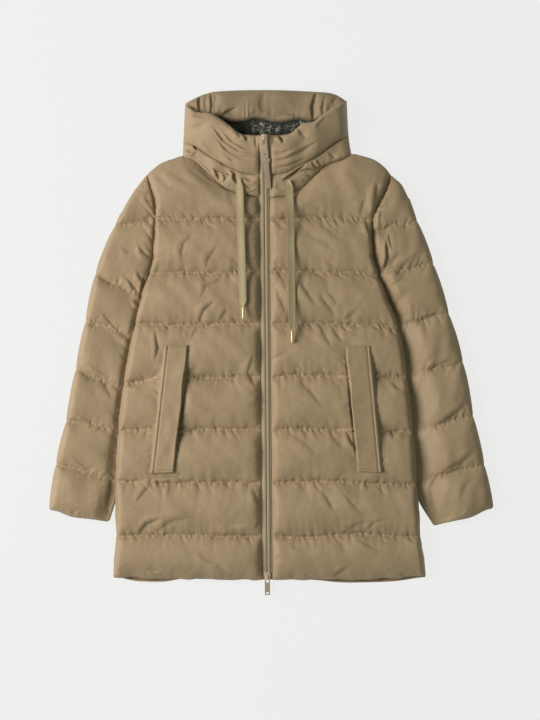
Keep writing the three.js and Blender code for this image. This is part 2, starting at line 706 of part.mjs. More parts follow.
// A metal tab that hangs from the pivot bar, with the slot that the bridge passes through and a
// small hole near its other end, `rim` mm from it.
const TAB_BAR = 0.8;          // half the height of the bar that the bridge holds
const SLOT_PLAY = 0.9;        // between the bridge and each side of the slot

function metalTab({ wide, long, slotLong, hole }) {
  const outline = roundedBox(wide, long, 1.4, TAB_BAR);
  const slot = roundedBox(BRIDGE_WIDE + 2 * SLOT_PLAY, slotLong, 0.6, -TAB_BAR);
  outline.holes.push(new THREE.Path(slot.getPoints(3).reverse()));
  const holeTop = TAB_BAR - long + hole.rim + hole.long;
  const small = roundedBox(hole.wide, hole.long, 0.8, holeTop);
  outline.holes.push(new THREE.Path(small.getPoints(3).reverse()));
  return plate(outline, BAR_THICK, 3);
}

const UPPER_PIVOT_Y = 353;
const UPPER_LIFT = 1.6;       // how much higher than its plate needs the upper pivot lies
const UPPER_TILT = 0.365;     // slope of the collar under the upper pull
const UPPER_LEAN = 0.085;     // how far the upper pull hangs to the right
const UPPER_SLIDER = { long: 17, start: 7.5 };
const UPPER_TAB = { wide: 9.6, long: 35.5, slotLong: 9, hole: { wide: 4.4, long: 2, rim: 6 } };
const GRIP = { half: 5, long: 47, headHalf: 7.6, headLong: 7.6, corner: 2.6, thick: 2.4 };
const LOWER_PIVOT_Y = -413;
const LOWER_LIFT = 0.2;
const LOWER_TILT = 0.21;      // slope of the zip at the hem
const LOWER_DROP = 0.17;      // how much further the lower tab falls
const LOWER_SLIDER = { long: 14.5, start: 11 };
const LOWER_TAB = { wide: 9.4, long: 33.5, slotLong: 7.5, hole: { wide: 5, long: 3.6, rim: 2 } };

function placed(group, y, lift, tilt) {
  group.position.set(zipX(y), y, zipZ(y) + PIVOT_UP + lift);
  group.rotation.x = tilt;
  return group;
}

// A flat soft strap whose round head wraps the end of the tab.
function softGrip() {
  const top = TAB_BAR - UPPER_TAB.long - GAP;
  const neck = top - GRIP.headLong;
  const end = neck - GRIP.long;
  const { half, headHalf, corner } = GRIP;
  const outline = new THREE.Shape();
  outline.moveTo(-headHalf + corner, top);
  outline.lineTo(headHalf - corner, top);
  outline.quadraticCurveTo(headHalf, top, headHalf, top - corner);
  outline.quadraticCurveTo(headHalf, neck, half, neck);
  outline.lineTo(half, end + corner);
  outline.quadraticCurveTo(half, end, half - corner, end);
  outline.lineTo(-half + corner, end);
  outline.quadraticCurveTo(-half, end, -half, end + corner);
  outline.lineTo(-half, neck);
  outline.quadraticCurveTo(-headHalf, neck, -headHalf, top - corner);
  outline.quadraticCurveTo(-headHalf, top, -headHalf + corner, top);
  return plate(outline, GRIP.thick, 4);
}

function upperSlider() {
  const group = new THREE.Group();
  const body = mesh('slider_upper', sliderBody(UPPER_SLIDER.long, UPPER_SLIDER.start), ROSE_METAL);
  const hanging = new THREE.Group();
  hanging.rotation.z = UPPER_LEAN;
  hanging.add(mesh('pull_upper_tab', metalTab(UPPER_TAB), ROSE_METAL));
  hanging.add(mesh('pull_upper_grip', softGrip(), SOFT_GRIP));
  group.add(body, hanging);
  return placed(group, UPPER_PIVOT_Y, UPPER_LIFT, UPPER_TILT);
}

function lowerSlider() {
  const group = new THREE.Group();
  const body = mesh('slider_lower', sliderBody(LOWER_SLIDER.long, LOWER_SLIDER.start), ROSE_METAL);
  const hanging = new THREE.Group();
  hanging.rotation.x = LOWER_DROP;
  hanging.add(mesh('pull_lower_tab', metalTab(LOWER_TAB), ROSE_METAL));
  group.add(body, hanging);
  return placed(group, LOWER_PIVOT_Y, LOWER_LIFT, LOWER_TILT);
}

// ---- drawcords ----
const CORD_SIDES = 8;         // facets round a cord
const CORD_STEP = 10;         // length of one facet

// One point of a cord's section: an oblong with blunt sides.
function cordSection(k) {
  const angle = (k / CORD_SIDES) * 2 * Math.PI;
  const across = Math.sign(Math.cos(angle)) * Math.abs(Math.cos(angle)) ** 0.6;
  const up = Math.sign(Math.sin(angle)) * Math.abs(Math.sin(angle)) ** 0.8;
  return new THREE.Vector2((across * CORD_WIDE) / 2, (up * CORD_THICK) / 2);
}

function drawcord(side) {
  const points = CORD_ROUTES[side].map((p) => new THREE.Vector3(...p));
  const extrudePath = new THREE.CatmullRomCurve3(points);
  const section = new THREE.Shape(Array.from({ length: CORD_SIDES }, (_, k) => cordSection(k)));
  const steps = Math.round(extrudePath.getLength() / CORD_STEP);
  const settings = { steps, bevelEnabled: false, extrudePath };
  return mesh(`drawcord_${side}`, new THREE.ExtrudeGeometry(section, settings), CORD);
}

const TIP_TAPER = 0.86;       // the tip's end, against its mouth
const TIP_RISE = 0.4;         // the tip's middle, above the cord's

function cordTip(side) {
  const [x, y, z] = CORD_ROUTES[side][CORD_ROUTES[side].length - 1];
  const geometry = new THREE.CylinderGeometry(TIP_RADIUS, TIP_RADIUS * TIP_TAPER, TIP_LENGTH, 12);
  const tip = mesh(`cord_tip_${side}`, geometry, BRASS);
  tip.position.set(x, y - GAP - TIP_LENGTH / 2, z + TIP_RISE);
  return tip;
}

// ---- the jacket ----
const jacket = new THREE.Group();
jacket.add(backPanel());
for (const side of ['left', 'right']) {
  jacket.add(front(side));
  jacket.add(sleeve(side, 'front'));
  jacket.add(sleeve(side, 'back'));
}
jacket.add(hoodBack());
jacket.add(hoodFacing());
jacket.add(hoodPile());
for (const side of ['left', 'right']) {
  jacket.add(hoodRoll(side));
  jacket.add(underCollar(side));
  jacket.add(pocketWelt(side));
  jacket.add(zipTape(side));
}
jacket.add(upperSlider());
jacket.add(lowerSlider());
for (const side of ['left', 'right']) {
  jacket.add(drawcord(side));
  jacket.add(cordTip(side));
}

export default jacket;
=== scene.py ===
# %% [markdown]
# # A hooded quilted jacket, zipped shut and laid flat on its back
# The jacket is sewn from padded panels: two fronts, a back, sleeves and a hood. This notebook
# makes each panel as a surface worked out with numpy, blows the quilted ones up with a cloth
# simulation, and then adds the zip, the pocket welts, the drawcords and the thread. Lengths are
# worked out in millimetres and turned to metres when a mesh is made.

import math

import bmesh
import bpy
import numpy as np
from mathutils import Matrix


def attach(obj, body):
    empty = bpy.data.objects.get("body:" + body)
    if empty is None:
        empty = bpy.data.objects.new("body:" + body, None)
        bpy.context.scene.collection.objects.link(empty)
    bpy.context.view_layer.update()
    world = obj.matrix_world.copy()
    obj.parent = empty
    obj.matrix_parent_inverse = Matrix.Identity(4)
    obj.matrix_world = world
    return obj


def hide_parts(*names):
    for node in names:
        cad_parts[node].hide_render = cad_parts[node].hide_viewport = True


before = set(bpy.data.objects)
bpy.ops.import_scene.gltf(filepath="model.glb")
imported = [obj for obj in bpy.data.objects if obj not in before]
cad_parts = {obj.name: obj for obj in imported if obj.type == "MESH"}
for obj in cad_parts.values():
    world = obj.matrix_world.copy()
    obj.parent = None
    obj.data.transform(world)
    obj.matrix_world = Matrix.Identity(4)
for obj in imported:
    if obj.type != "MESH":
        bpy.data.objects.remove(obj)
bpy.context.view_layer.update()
scene = bpy.context.scene
MM = 0.001

# %% [markdown]
# ## Camera, floor and light
# A garment laid out for a shop is looked at from straight above. The camera could stand close
# with a wide lens, but a long lens far away keeps the puffy edges from leaning outwards. One
# softbox on the left, nearly as high as it is far away, lights the quilting from the side, so
# that every channel has a light and a dark side and the right sleeve is the darkest. A dim world
# fills the shadows, as a studio's walls do, and the paper under the jacket is lit on its own.

# %% Camera
VIEW_TALL = 1.26                    # metres of the floor from the bottom of the view to its top
VIEW_MIDDLE = (-0.0023, -0.02975)
LENS = 100
SENSOR = 36
LOOK_LEVEL = 0.025                  # the height of the jacket's front, where the scale is true

camera = bpy.data.objects.new("camera", bpy.data.cameras.new("camera"))
camera.data.sensor_fit = "VERTICAL"
camera.data.sensor_height = SENSOR
camera.data.lens = LENS
camera.location = (*VIEW_MIDDLE, LOOK_LEVEL + VIEW_TALL * LENS / SENSOR)
scene.collection.objects.link(camera)
scene.camera = camera
print("camera stands", round(camera.location.z, 3), "m above the floor")


# %% Light
def softbox(name, watts, place, size, tint):
    """A square area lamp at `place`, in metres, that faces the middle of the jacket."""
    lamp = bpy.data.lights.new(name, "AREA")
    lamp.shape = "SQUARE"
    lamp.size = size
    lamp.energy = watts
    lamp.color = tint
    obj = bpy.data.objects.new(name, lamp)
    x, y, z = place
    obj.location = place
    obj.rotation_euler = (math.atan2(math.hypot(x, y), z), 0, math.atan2(x, -y))
    scene.collection.objects.link(obj)
    return obj


KEY_PLACE = (-2.25, 0.24, 1.85)
KEY_TINT = (1.0, 0.942, 0.915)
WORLD_TINT, WORLD_STRENGTH = (0.88, 1.0, 0.86, 1), 0.3
softbox("key_light", 108, KEY_PLACE, 1.5, KEY_TINT)
world = bpy.data.worlds.new("studio")
world.use_nodes = True
background = world.node_tree.nodes["Background"]
background.inputs["Color"].default_value = WORLD_TINT
background.inputs["Strength"].default_value = WORLD_STRENGTH
scene.world = world
scene.view_settings.view_transform = "Standard"
print("view transform", scene.view_settings.view_transform)


# %% Floor
def mesh_object(name, points, faces, smooth=True):
    """A new object from points in millimetres and lists of corner numbers."""
    mesh = bpy.data.meshes.new(name)
    mesh.from_pydata((np.asarray(points) * MM).tolist(), [], faces)
    mesh.polygons.foreach_set("use_smooth", np.full(len(mesh.polygons), smooth))
    obj = bpy.data.objects.new(name, mesh)
    scene.collection.objects.link(obj)
    return obj


def colour(r, g, b):
    """A linear colour from the three sRGB numbers, 0 to 255: c/12.92 up to
    0.04045, and ((c + 0.055)/1.055)^2.4 above."""
    c = np.array([r, g, b]) / 255
    return (*np.where(c <= 0.04045, c / 12.92, ((c + 0.055) / 1.055) ** 2.4).tolist(), 1.0)


def material(name, base, roughness, **sockets):
    """A new material: its node tree, its shader, and the shader's plain values."""
    mat = bpy.data.materials.new(name)
    mat.use_nodes = True
    shader = mat.node_tree.nodes["Principled BSDF"]
    shader.inputs["Base Color"].default_value = base
    shader.inputs["Roughness"].default_value = roughness
    for socket, value in sockets.items():
        shader.inputs[socket.replace("_", " ")].default_value = value
    return mat


FLOOR_HALF, FLOOR_Z = 6000, -0.3
floor = mesh_object(
    "floor", [(a * FLOOR_HALF, b * FLOOR_HALF, FLOOR_Z)
              for a, b in ((-1, -1), (1, -1), (1, 1), (-1, 1))], [(0, 1, 2, 3)], smooth=False)
floor.data.materials.append(material(
    "floor_paper", (0.04, 0.04, 0.039, 1), 0.95, Emission_Color=(1, 1, 0.99, 1),
    Emission_Strength=0.8))
print("floor is", 2 * FLOOR_HALF * MM, "m wide")

# %% [markdown]
# ## The cut of the jacket
# Every panel's outline comes from a few tables: the side of the body, the neckline, the sleeves
# and the hood. They could be drawn as curves by hand, but tables read through one smooth curve
# keep neighbouring panels on the same seam, because both read the same rows.

# %% Dimensions
GAP = 0.3                           # between panels that meet at a seam
HEM_Y, HEM_DROP = -411, 5
FIRST_QUILT_Y, QUILT_PITCH, QUILT_LINES = 217.5, 92.5, 7
LAST_QUILT_Y = FIRST_QUILT_Y - (QUILT_LINES - 1) * QUILT_PITCH
ARMHOLE_TOP_Y = 294
BACK_THICK = 14
SEAM_THICK = 6                      # of a front layer where it is sewn
HEM_SINK, HEM_SINK_RUN = 5, 60      # how far the fronts sink at the hem, and over what run
ZIP_TOP_X, ZIP_TOP_Y, ZIP_LEAN = -12.8, 364, 0.0077
TAPE_WIDTH = 8.4                    # of half the zip
NECK_END = 0.675                    # where the neckline ends and the shoulder begins
SIDES = ("left", "right")
OUT = {"left": -1, "right": 1}      # the way from the zip to the sleeve
COLUMN = {"left": 1, "right": 2}    # each side's column in the tables below

# Height up the body, then the side seam's place on the left and on the right.
SIDE = np.array([
    (294, -219, 210), (255, -207, 196), (220, -203.5, 178.5), (180, -205, 175.5),
    (140, -209, 181), (95, -223, 196), (25, -241, 223), (-95, -262, 242),
    (-240, -272.5, 254.5), (-345, -272, 262), (-411, -277, 271)])
# Place across a front, from 0 at the zip to 1 at the armhole, then the height of its top edge
# on the left and on the right.
TOP_EDGE = np.array([
    (0, 257, 256.5), (0.06, 259, 257.5), (0.16, 263, 260.5), (0.3, 273, 279),
    (0.44, 296, 310), (0.57, 320, 321.5), (0.675, 327.5, 331), (0.76, 323, 328),
    (0.87, 315, 320), (0.95, 303, 307), (1, 294, 294)])
# The same across the neck: the roll's lower seam, left and right, then its upper edge.
NECK = np.array([
    (0, 294, 294, 359.5, 359.5), (0.06, 295.5, 295.5, 360, 360), (0.16, 299.5, 300.5, 363, 362),
    (0.2, 302.8, 304.6, 367.5, 366), (0.28, 310, 314, 380, 379.8), (0.38, 321.5, 326, 393.5, 384),
    (0.44, 328.5, 335, 398.5, 393.5), (0.57, 345, 353.5, 403, 412), (0.675, 354, 363.5, 416, 425)])
# Height and level of the zip, from the top of the collar down to the hem.
ZIP_PATH = np.array([
    (364, 57), (358, 60), (348, 59.5), (325, 50.5), (294, 38.5), (270, 29), (252, 23.5),
    (230, 21), (100, 20.5), (-100, 20.5), (-350, 20.5), (-375, 18.5), (-395, 15), (-412, 11.5)])
print("quilt lines from", FIRST_QUILT_Y, "down to", LAST_QUILT_Y)


# %% Reading the tables
def through(xs, ys, at):
    """A smooth curve through points, read at `at`: a cubic between each two points, whose slope
    at a point is the slope of the line between that point's neighbours."""
    order = np.argsort(xs)
    xs, ys = np.asarray(xs, float)[order], np.asarray(ys, float)[order]
    n = np.arange(len(xs))
    after, before = np.minimum(n + 1, len(xs) - 1), np.maximum(n - 1, 0)
    slope = (ys[after] - ys[before]) / (xs[after] - xs[before])
    at = np.clip(at, xs[0], xs[-1])
    i = np.clip(np.searchsorted(xs, at) - 1, 0, len(xs) - 2)
    run = xs[i + 1] - xs[i]
    t = (at - xs[i]) / run
    return ((2 * t**3 - 3 * t**2 + 1) * ys[i] + (t**3 - 2 * t**2 + t) * run * slope[i]
            + (3 * t**2 - 2 * t**3) * ys[i + 1] + (t**3 - t**2) * run * slope[i + 1])


def read(table, at, column=1):
    """A column of a table, read through a smooth curve at a value of its first column."""
    return through(table[:, 0], table[:, column], at)


def zip_line(y):
    """The middle of the zip at a height: a straight line that leans a little."""
    return ZIP_TOP_X + (ZIP_TOP_Y - y) * ZIP_LEAN


def zip_level(y):
    """The zip's height above the floor, at a place up the body."""
    return read(ZIP_PATH, y)


def layer_level(y):
    """Where the front layers lie on the back ones: level, then sinking towards the hem."""
    return BACK_THICK - HEM_SINK * np.clip((HEM_Y + HEM_SINK_RUN - y) / HEM_SINK_RUN, 0, 1)


def smooth(a, b, t):
    """0 below a, 1 above b, and an S-shaped cubic between them."""
    t = np.clip((t - a) / (b - a), 0, 1)
    return t * t * (3 - 2 * t)


print("zip at the hem lies at x", round(float(zip_line(HEM_Y)), 2))

# %% [markdown]
# ## Unevenness
# Padding clumps and sewn cloth puckers, so nothing on a real jacket repeats exactly. A noise
# texture could move the points, but sums of plane waves are simple arrays, are the same on each
# run, and have the size that each kind of unevenness needs.


# %% Ripples
WAVES = 9


def ripple(x, y, size, seed):
    """Smooth unevenness about 1 high: a sum of plane waves about `size` long, each with its own
    direction, length and phase, divided by the square root of half their number."""
    rng = np.random.default_rng(seed)
    angle = rng.uniform(0, 2 * np.pi, WAVES)
    number = 2 * np.pi / (size * rng.uniform(0.7, 1.5, WAVES))
    phase = rng.uniform(0, 2 * np.pi, WAVES)
    total = np.zeros(np.broadcast(x, y).shape)
    for a, k, p in zip(angle, number, phase):
        total = total + np.cos(k * (x * np.cos(a) + y * np.sin(a)) + p)
    return total / math.sqrt(WAVES / 2)


def uneven(t, size, seed):
    """The same along a line: t is the distance along it."""
    return ripple(t, 0 * t, size, seed)


# %% Gathers beside a seam
def pleats(along, away, pitch, reach, lean, seed):
    """Small gathers beside a seam. `along` runs down the seam and `away` is the distance from
    it: a wave along the seam whose spacing wanders, leaning by `lean` mm for each mm away. Its
    height rises and dies away from the seam as (s*exp(1 - s))^1.5 with s = away/reach, and both
    height and reach wander along the seam, so that some stretches have no gathers at all."""
    wander = 0.4 * pitch * uneven(along, 5 * pitch, seed)
    wave = np.cos(2 * np.pi * (along + wander + lean * away) / pitch)
    size = 0.4 + 0.65 * uneven(along, 3.3 * pitch, seed + 1)
    local = reach * np.exp(0.4 * uneven(along, 2.6 * pitch, seed + 2))
    step = np.maximum(away, 0) / np.maximum(local, 1)
    return np.clip(size, 0, 1.7) * wave * (step * np.exp(1 - step)) ** 1.5


def puckers(along, away, pitch, reach, depth, lean, seed):
    """Short creases that sewing pulls in beside a seam, about one for each `pitch` mm of it.
    Each is a trough exp(-(gap/width)^2) across, whose width grows away from the seam and whose
    depth falls as (1 - t)^1.4, with t from 0 at the seam to 1 at its end. Their places,
    lengths, widths, depths and leans are all uneven."""
    rng = np.random.default_rng(seed)
    near = (away >= 0) & (away < 3 * reach)
    s, d = (along + 0 * away)[near], (away + 0 * along)[near]
    total = np.zeros(s.shape)
    if not len(s):
        return np.zeros(near.shape)
    number = max(int((s.max() - s.min()) / pitch), 1)
    spots = s.min() + (np.arange(number) + rng.uniform(0, 1, number)) * pitch
    lengths = reach * np.exp(rng.normal(0, 0.5, number))
    widths = rng.uniform(0.9, 2.1, number)
    slopes = lean + rng.normal(0, 0.35, number)
    depths = depth * rng.uniform(0.1, 1.5, number)
    for spot, long, wide, slope, deep in zip(spots, lengths, widths, slopes, depths):
        t = np.clip(d / long, 0, 1)
        gap = (s - spot - slope * d) / (wide + 0.25 * d)
        total -= deep * (1 - t) ** 1.4 * np.exp(-(gap**2))
    result = np.zeros(near.shape)
    result[near] = total * (0.45 + 0.55 * smooth(0, 2.5, d))
    return result


# %% Creases
def fold(x, y, line, width, depth, lip):
    """One crease along a line of points: a trough `depth` deep. On its left side, seen from
    above, the cloth drops steeply, as exp(-(distance/0.55 width)^2), and on its right side it
    climbs back gently, as exp(-(distance/2.1 width)^1.4); a raised lip runs on the left, `lip`
    times as high as the trough is deep. It gets narrower and fades out towards both ends."""
    line = np.asarray(line, float)
    if line[0, 1] < line[-1, 1]:
        line = line[::-1]
    steps = np.diff(line, axis=0)
    lengths = np.hypot(steps[:, 0], steps[:, 1])
    total = lengths.sum()
    best = np.full(np.broadcast(x, y).shape, 1e9)
    signed = np.zeros(best.shape)
    place = np.zeros(best.shape)
    done = 0.0
    for (px, py), (dx, dy), length in zip(line[:-1], steps, lengths):
        t = np.clip(((x - px) * dx + (y - py) * dy) / length**2, 0, 1)
        gx, gy = x - px - t * dx, y - py - t * dy
        gap = np.hypot(gx, gy)
        near = gap < best
        best = np.where(near, gap, best)
        signed = np.where(near, np.copysign(gap, dx * gy - dy * gx), signed)
        place = np.where(near, (done + t * length) / total, place)
        done += length
    fade = np.sin(np.pi * np.clip(place, 0.015, 0.985)) ** 0.8
    wide = width * (0.4 + 0.6 * fade)
    steep = np.exp(-((best / np.maximum(0.55 * wide, 1.2)) ** 2))
    gentle = np.exp(-((best / (2.1 * wide)) ** 1.4))
    trough = np.where(signed < 0, steep, 0.25 * steep + 0.75 * gentle)
    ridge = np.exp(-(((signed + 1.6 * wide) / (1.2 * wide)) ** 2))
    return depth * fade * (lip * ridge - trough)


def folds(x, y, table, strength=1.0):
    """The sum of the creases in a table of (line, width, depth, lip), made stronger or
    weaker all together."""
    total = np.zeros(np.broadcast(x, y).shape)
    for line, width, depth, lip in table:
        total = total + fold(x, y, line, width, strength * depth, lip)
    return total


def travelled(points):
    """How far each point of a line of points lies from the first, along the line."""
    return np.concatenate([[0], np.cumsum(np.linalg.norm(np.diff(points, axis=0), axis=1))])


print("ripple of a 60 mm wave at the origin", round(float(ripple(0.0, 0.0, 60, 1)), 3))

# %% [markdown]
# ## Finishes
# The shell is a fine, smooth polyester weave with a slight sheen; zip, pile, cord and metal each
# get a finish of their own. Pictures of cloth could be wrapped round the panels, but a pattern
# worked out from the point in space needs no unwrapping and runs on over a seam without a jump.


# %% Node helpers
def node(mat, kind, **settings):
    """Adds a node to a material; a setting named like an input sets that input."""
    made = mat.node_tree.nodes.new(kind)
    for key, value in settings.items():
        name = key.replace("_", " ")
        if name in made.inputs:
            made.inputs[name].default_value = value
        else:
            setattr(made, key, value)
    return made


def link(mat, source, output, target, socket):
    """Joins an output of one node to a socket of another."""
    mat.node_tree.links.new(source.outputs[output], target.inputs[socket])


def place(mat, scale=(1, 1, 1), from_uv=False):
    """The point that a pattern reads: the piece's own coordinates, or its UV map, scaled."""
    coords = node(mat, "ShaderNodeTexCoord")
    mapping = node(mat, "ShaderNodeMapping", Scale=scale)
    link(mat, coords, "UV" if from_uv else "Object", mapping, "Vector")
    return mapping


# %% Patterns
def noise(mat, where, size, detail=2.0, rough=0.5):
    """Noise whose blotches are about `size` metres across."""
    made = node(mat, "ShaderNodeTexNoise", Scale=1 / size, Detail=detail, Roughness=rough)
    link(mat, where, "Vector", made, "Vector")
    return made


def threads(mat, where, pitch, direction):
    """Straight threads `pitch` metres apart, as bands across one axis."""
    made = node(mat, "ShaderNodeTexWave", Scale=math.pi / 10 / pitch, Distortion=0.0)
    made.bands_direction = direction
    link(mat, where, "Vector", made, "Vector")
    return made


def feed(mat, source, target, socket):
    """Links a node's factor, whatever its output is called, to a socket."""
    link(mat, source, "Value" if "Value" in source.outputs else "Fac", target, socket)


# %% Joining patterns up
def combine(mat, operation, first, second):
    """Combines two factors with one step of arithmetic; a number may stand for either."""
    made = node(mat, "ShaderNodeMath", operation=operation)
    for slot, value in enumerate((first, second)):
        if isinstance(value, (int, float)):
            made.inputs[slot].default_value = value
        else:
            feed(mat, value, made, slot)
    return made


def bump(mat, height, depth, below=None):
    """Turns a factor into relief `depth` metres high, on top of the relief `below`."""
    made = node(mat, "ShaderNodeBump", Strength=1.0, Distance=depth)
    feed(mat, height, made, "Height")
    if below:
        link(mat, below, "Normal", made, "Normal")
    return made


def finish(mat, relief=None, tint=None, gloss=None):
    """Joins relief, colour and roughness nodes to the material's shader."""
    shader = mat.node_tree.nodes["Principled BSDF"]
    if relief:
        link(mat, relief, "Normal", shader, "Normal")
    if tint:
        link(mat, tint, "Color", shader, "Base Color")
    if gloss:
        link(mat, gloss, "Result", shader, "Roughness")
    return mat


def ramp(mat, factor, *stops):
    """A colour ramp through (place, colour) stops, driven by a factor."""
    made = node(mat, "ShaderNodeValToRGB")
    feed(mat, factor, made, "Fac")
    ends = made.color_ramp.elements
    while len(ends) < len(stops):
        ends.new(0.5)
    for element, (where, value) in zip(ends, stops):
        element.position, element.color = where, value
    return made


def spread(mat, factor, low, high):
    """Stretches a factor of 0.3 to 0.7, where most noise lies, to run from low to high."""
    made = node(mat, "ShaderNodeMapRange")
    for name, value in (("From Min", 0.3), ("From Max", 0.7), ("To Min", low), ("To Max", high)):
        made.inputs[name].default_value = value
    feed(mat, factor, made, "Value")
    return made


# %% Shell cloth
shell = material("shell_cloth", colour(158, 137, 107), 0.6, Sheen_Weight=0.12,
                 Sheen_Roughness=0.45, Specular_IOR_Level=0.35)
where = place(shell)
weave = combine(shell, "MULTIPLY", threads(shell, where, 0.0004, "X"),
                threads(shell, where, 0.0004, "Y"))
relief = bump(shell, weave, 0.00003)
relief = bump(shell, noise(shell, where, 0.0035, 3.0, 0.6), 0.00035, relief)
relief = bump(shell, noise(shell, where, 0.012, 2.0), 0.0009, relief)
clouds = noise(shell, where, 0.045, 4.0, 0.6)
finish(shell, relief,
       ramp(shell, clouds, (0.3, colour(147, 126, 98)), (0.7, colour(156, 135, 106))),
       spread(shell, noise(shell, where, 0.006, 3.0), 0.52, 0.68))
print("shell cloth has", len(shell.node_tree.nodes), "nodes")

# The same cloth inside the hood, with shade painted in: both its tones are darker.
shell_painted_shade = shell.copy()
shell_painted_shade.name = "shell_inside"
darker = next(n for n in shell_painted_shade.node_tree.nodes if n.bl_idname == "ShaderNodeValToRGB")
darker.color_ramp.elements[0].color = colour(131, 113, 88)
darker.color_ramp.elements[1].color = colour(142, 123, 96)

# %% Other finishes
thread = material("sewing_thread", colour(146, 124, 95), 0.5, Sheen_Weight=0.2)
where = place(thread)
finish(thread, bump(thread, threads(thread, where, 0.0005, "DIAGONAL"), 0.00004),
       ramp(thread, noise(thread, where, 0.01), (0.35, colour(134, 114, 86)),
            (0.65, colour(150, 130, 100))))

tape = material("zip_coil", colour(150, 134, 108), 0.5, Sheen_Weight=0.05)
where = place(tape, from_uv=True)
ribs = threads(tape, where, 0.0013, "Y")
knit = threads(tape, where, 0.0009, "X")
finish(tape, bump(tape, knit, 0.00005, bump(tape, ribs, 0.00012)),
       ramp(tape, ribs, (0.1, colour(138, 122, 96)), (0.8, colour(164, 147, 119))))


def metal_finish(mat, grain, relief, dark, light, patch, low, high):
    """A metal's finish: relief of `grain` metres' size and `relief` metres' height, a colour
    that clouds between dark and light, and a roughness from low to high in patches."""
    where = place(mat)
    return finish(mat, bump(mat, noise(mat, where, grain), relief),
                  ramp(mat, noise(mat, where, 0.004, 3.0), (0.35, dark), (0.7, light)),
                  spread(mat, noise(mat, where, patch, 3.0), low, high))


metal = metal_finish(material("rose_metal", colour(240, 208, 182), 0.34, Metallic=0.85),
                     0.0008, 0.00002, colour(232, 198, 170), colour(250, 222, 198),
                     0.002, 0.24, 0.42)
brass = metal_finish(material("brass", colour(226, 200, 150), 0.5, Metallic=0.9),
                     0.0012, 0.00003, colour(214, 184, 130), colour(242, 220, 172),
                     0.003, 0.44, 0.6)

rubber = material("soft_grip", colour(158, 137, 117), 0.55, Specular_IOR_Level=0.4)
where = place(rubber)
finish(rubber, bump(rubber, noise(rubber, where, 0.0006, 3.0, 0.7), 0.00004),
       ramp(rubber, noise(rubber, where, 0.008, 3.0), (0.35, colour(150, 129, 110)),
            (0.7, colour(166, 145, 124))))
print("finishes", [m.name for m in (thread, tape, metal, brass, rubber)])

# %% [markdown]
# ## Drawcords
# Two flat woven cords come out of the collar beside the zip, hang over the chest, and each ends
# in a slim brass tip. A curve object with a bevel could draw them, but a flat cord turns and
# folds to a point, so each is a tube: an oblong ring of points carried along its middle line,
# with its own width and turn at every step.

# %% Drawcords
CORD_WIDE, CORD_THICK = 14.0, 2.2
CORD_STEP = 1.0
CORD_ROUTES = {
    "left": [
        (-55.5, 287, 39.2), (-55.4, 278, 37.4), (-55.2, 269, 35.8), (-54.9, 259, 35.8),
        (-54.6, 249, 37.2), (-54.3, 239, 38.4), (-53.7, 222, 38.2), (-53, 200, 38.4),
        (-52.2, 171, 38.6), (-51.4, 145, 38.4), (-50.9, 125, 37.8), (-50.3, 102, 38.4),
        (-49.6, 78, 38.6), (-49, 62, 38.4)],
    "right": [
        (31, 284, 38.8), (31.2, 275, 37), (31.5, 266, 35.6), (31.8, 257, 35.8),
        (32.1, 247, 37.4), (32.4, 237, 38.4), (32.8, 221, 38.2), (33.4, 200, 38.4),
        (34, 171, 38.6), (34.5, 145, 38.4), (34.8, 125, 37.8), (35.2, 102, 38.4),
        (35.6, 78, 38.6), (35.9, 56, 38.4), (36.2, 34, 37.8), (36.3, 20, 38.2)],
}


def cord_line(side):
    """The cord's middle line, a point for each mm of it: its route read through a smooth curve
    against the distance travelled."""
    route = np.array(CORD_ROUTES[side], float)
    far = travelled(route)
    at = np.linspace(0, far[-1], int(far[-1] / CORD_STEP) + 1)
    return at, np.stack([through(far, route[:, k], at) for k in range(3)], -1)


# %% Tubes
def ring_quads(rings, sides):
    """The squares between neighbouring rings of points."""
    i, j = np.arange(rings - 1)[:, None] * sides, np.arange(sides)[None, :]
    k = (j + 1) % sides
    return np.stack([i + j, i + k, i + sides + k, i + sides + j], -1).reshape(-1, 4)


def tube_faces(rings, sides):
    """Squares between the rings, and one face that closes each end."""
    ends = [list(range(sides))[::-1], list(range((rings - 1) * sides, rings * sides))]
    return ring_quads(rings, sides).tolist() + ends


def write_uv(obj, u, v):
    """Writes a UV map, in metres, from a u and a v for each point."""
    corner = np.zeros(len(obj.data.loops), np.int32)
    obj.data.loops.foreach_get("vertex_index", corner)
    layer = obj.data.uv_layers.new(name="along")
    layer.data.foreach_set("uv", np.stack([u[corner], v[corner]], -1).ravel() * MM)


def tube(name, line, wide, thick, turn, edge, sides=24):
    """A closed tube round a line that runs down the garment: at each of its points an oblong
    ring, |cos|^0.75 of half the width across and |sin|^0.75 of half the thickness up, turned by
    `turn` about the line; its right edge curls up by `edge` mm. UVs run across and along."""
    angle = np.arange(sides) / sides * 2 * np.pi
    c, s = np.cos(angle), np.sin(angle)
    across = np.sign(c) * np.abs(c) ** 0.75 * wide[:, None] / 2
    up = np.sign(s) * np.abs(s) ** 0.75 * thick[:, None] / 2
    up = up + edge * smooth(0.35, 1.0, 2 * across / wide[:, None])
    ahead = np.gradient(line, axis=0)
    ahead /= np.linalg.norm(ahead, axis=1)[:, None]
    right = np.cross([0, 0, 1.0], ahead)
    right /= np.linalg.norm(right, axis=1)[:, None]
    top = np.cross(ahead, right)
    ct, st = np.cos(turn)[:, None, None], np.sin(turn)[:, None, None]
    a, u = across[:, :, None], up[:, :, None]
    points = line[:, None] + (a * ct - u * st) * right[:, None] + (a * st + u * ct) * top[:, None]
    obj = mesh_object(name, points.reshape(-1, 3), tube_faces(len(line), sides))
    write_uv(obj, across.reshape(-1), np.repeat(travelled(line), sides))
    return obj


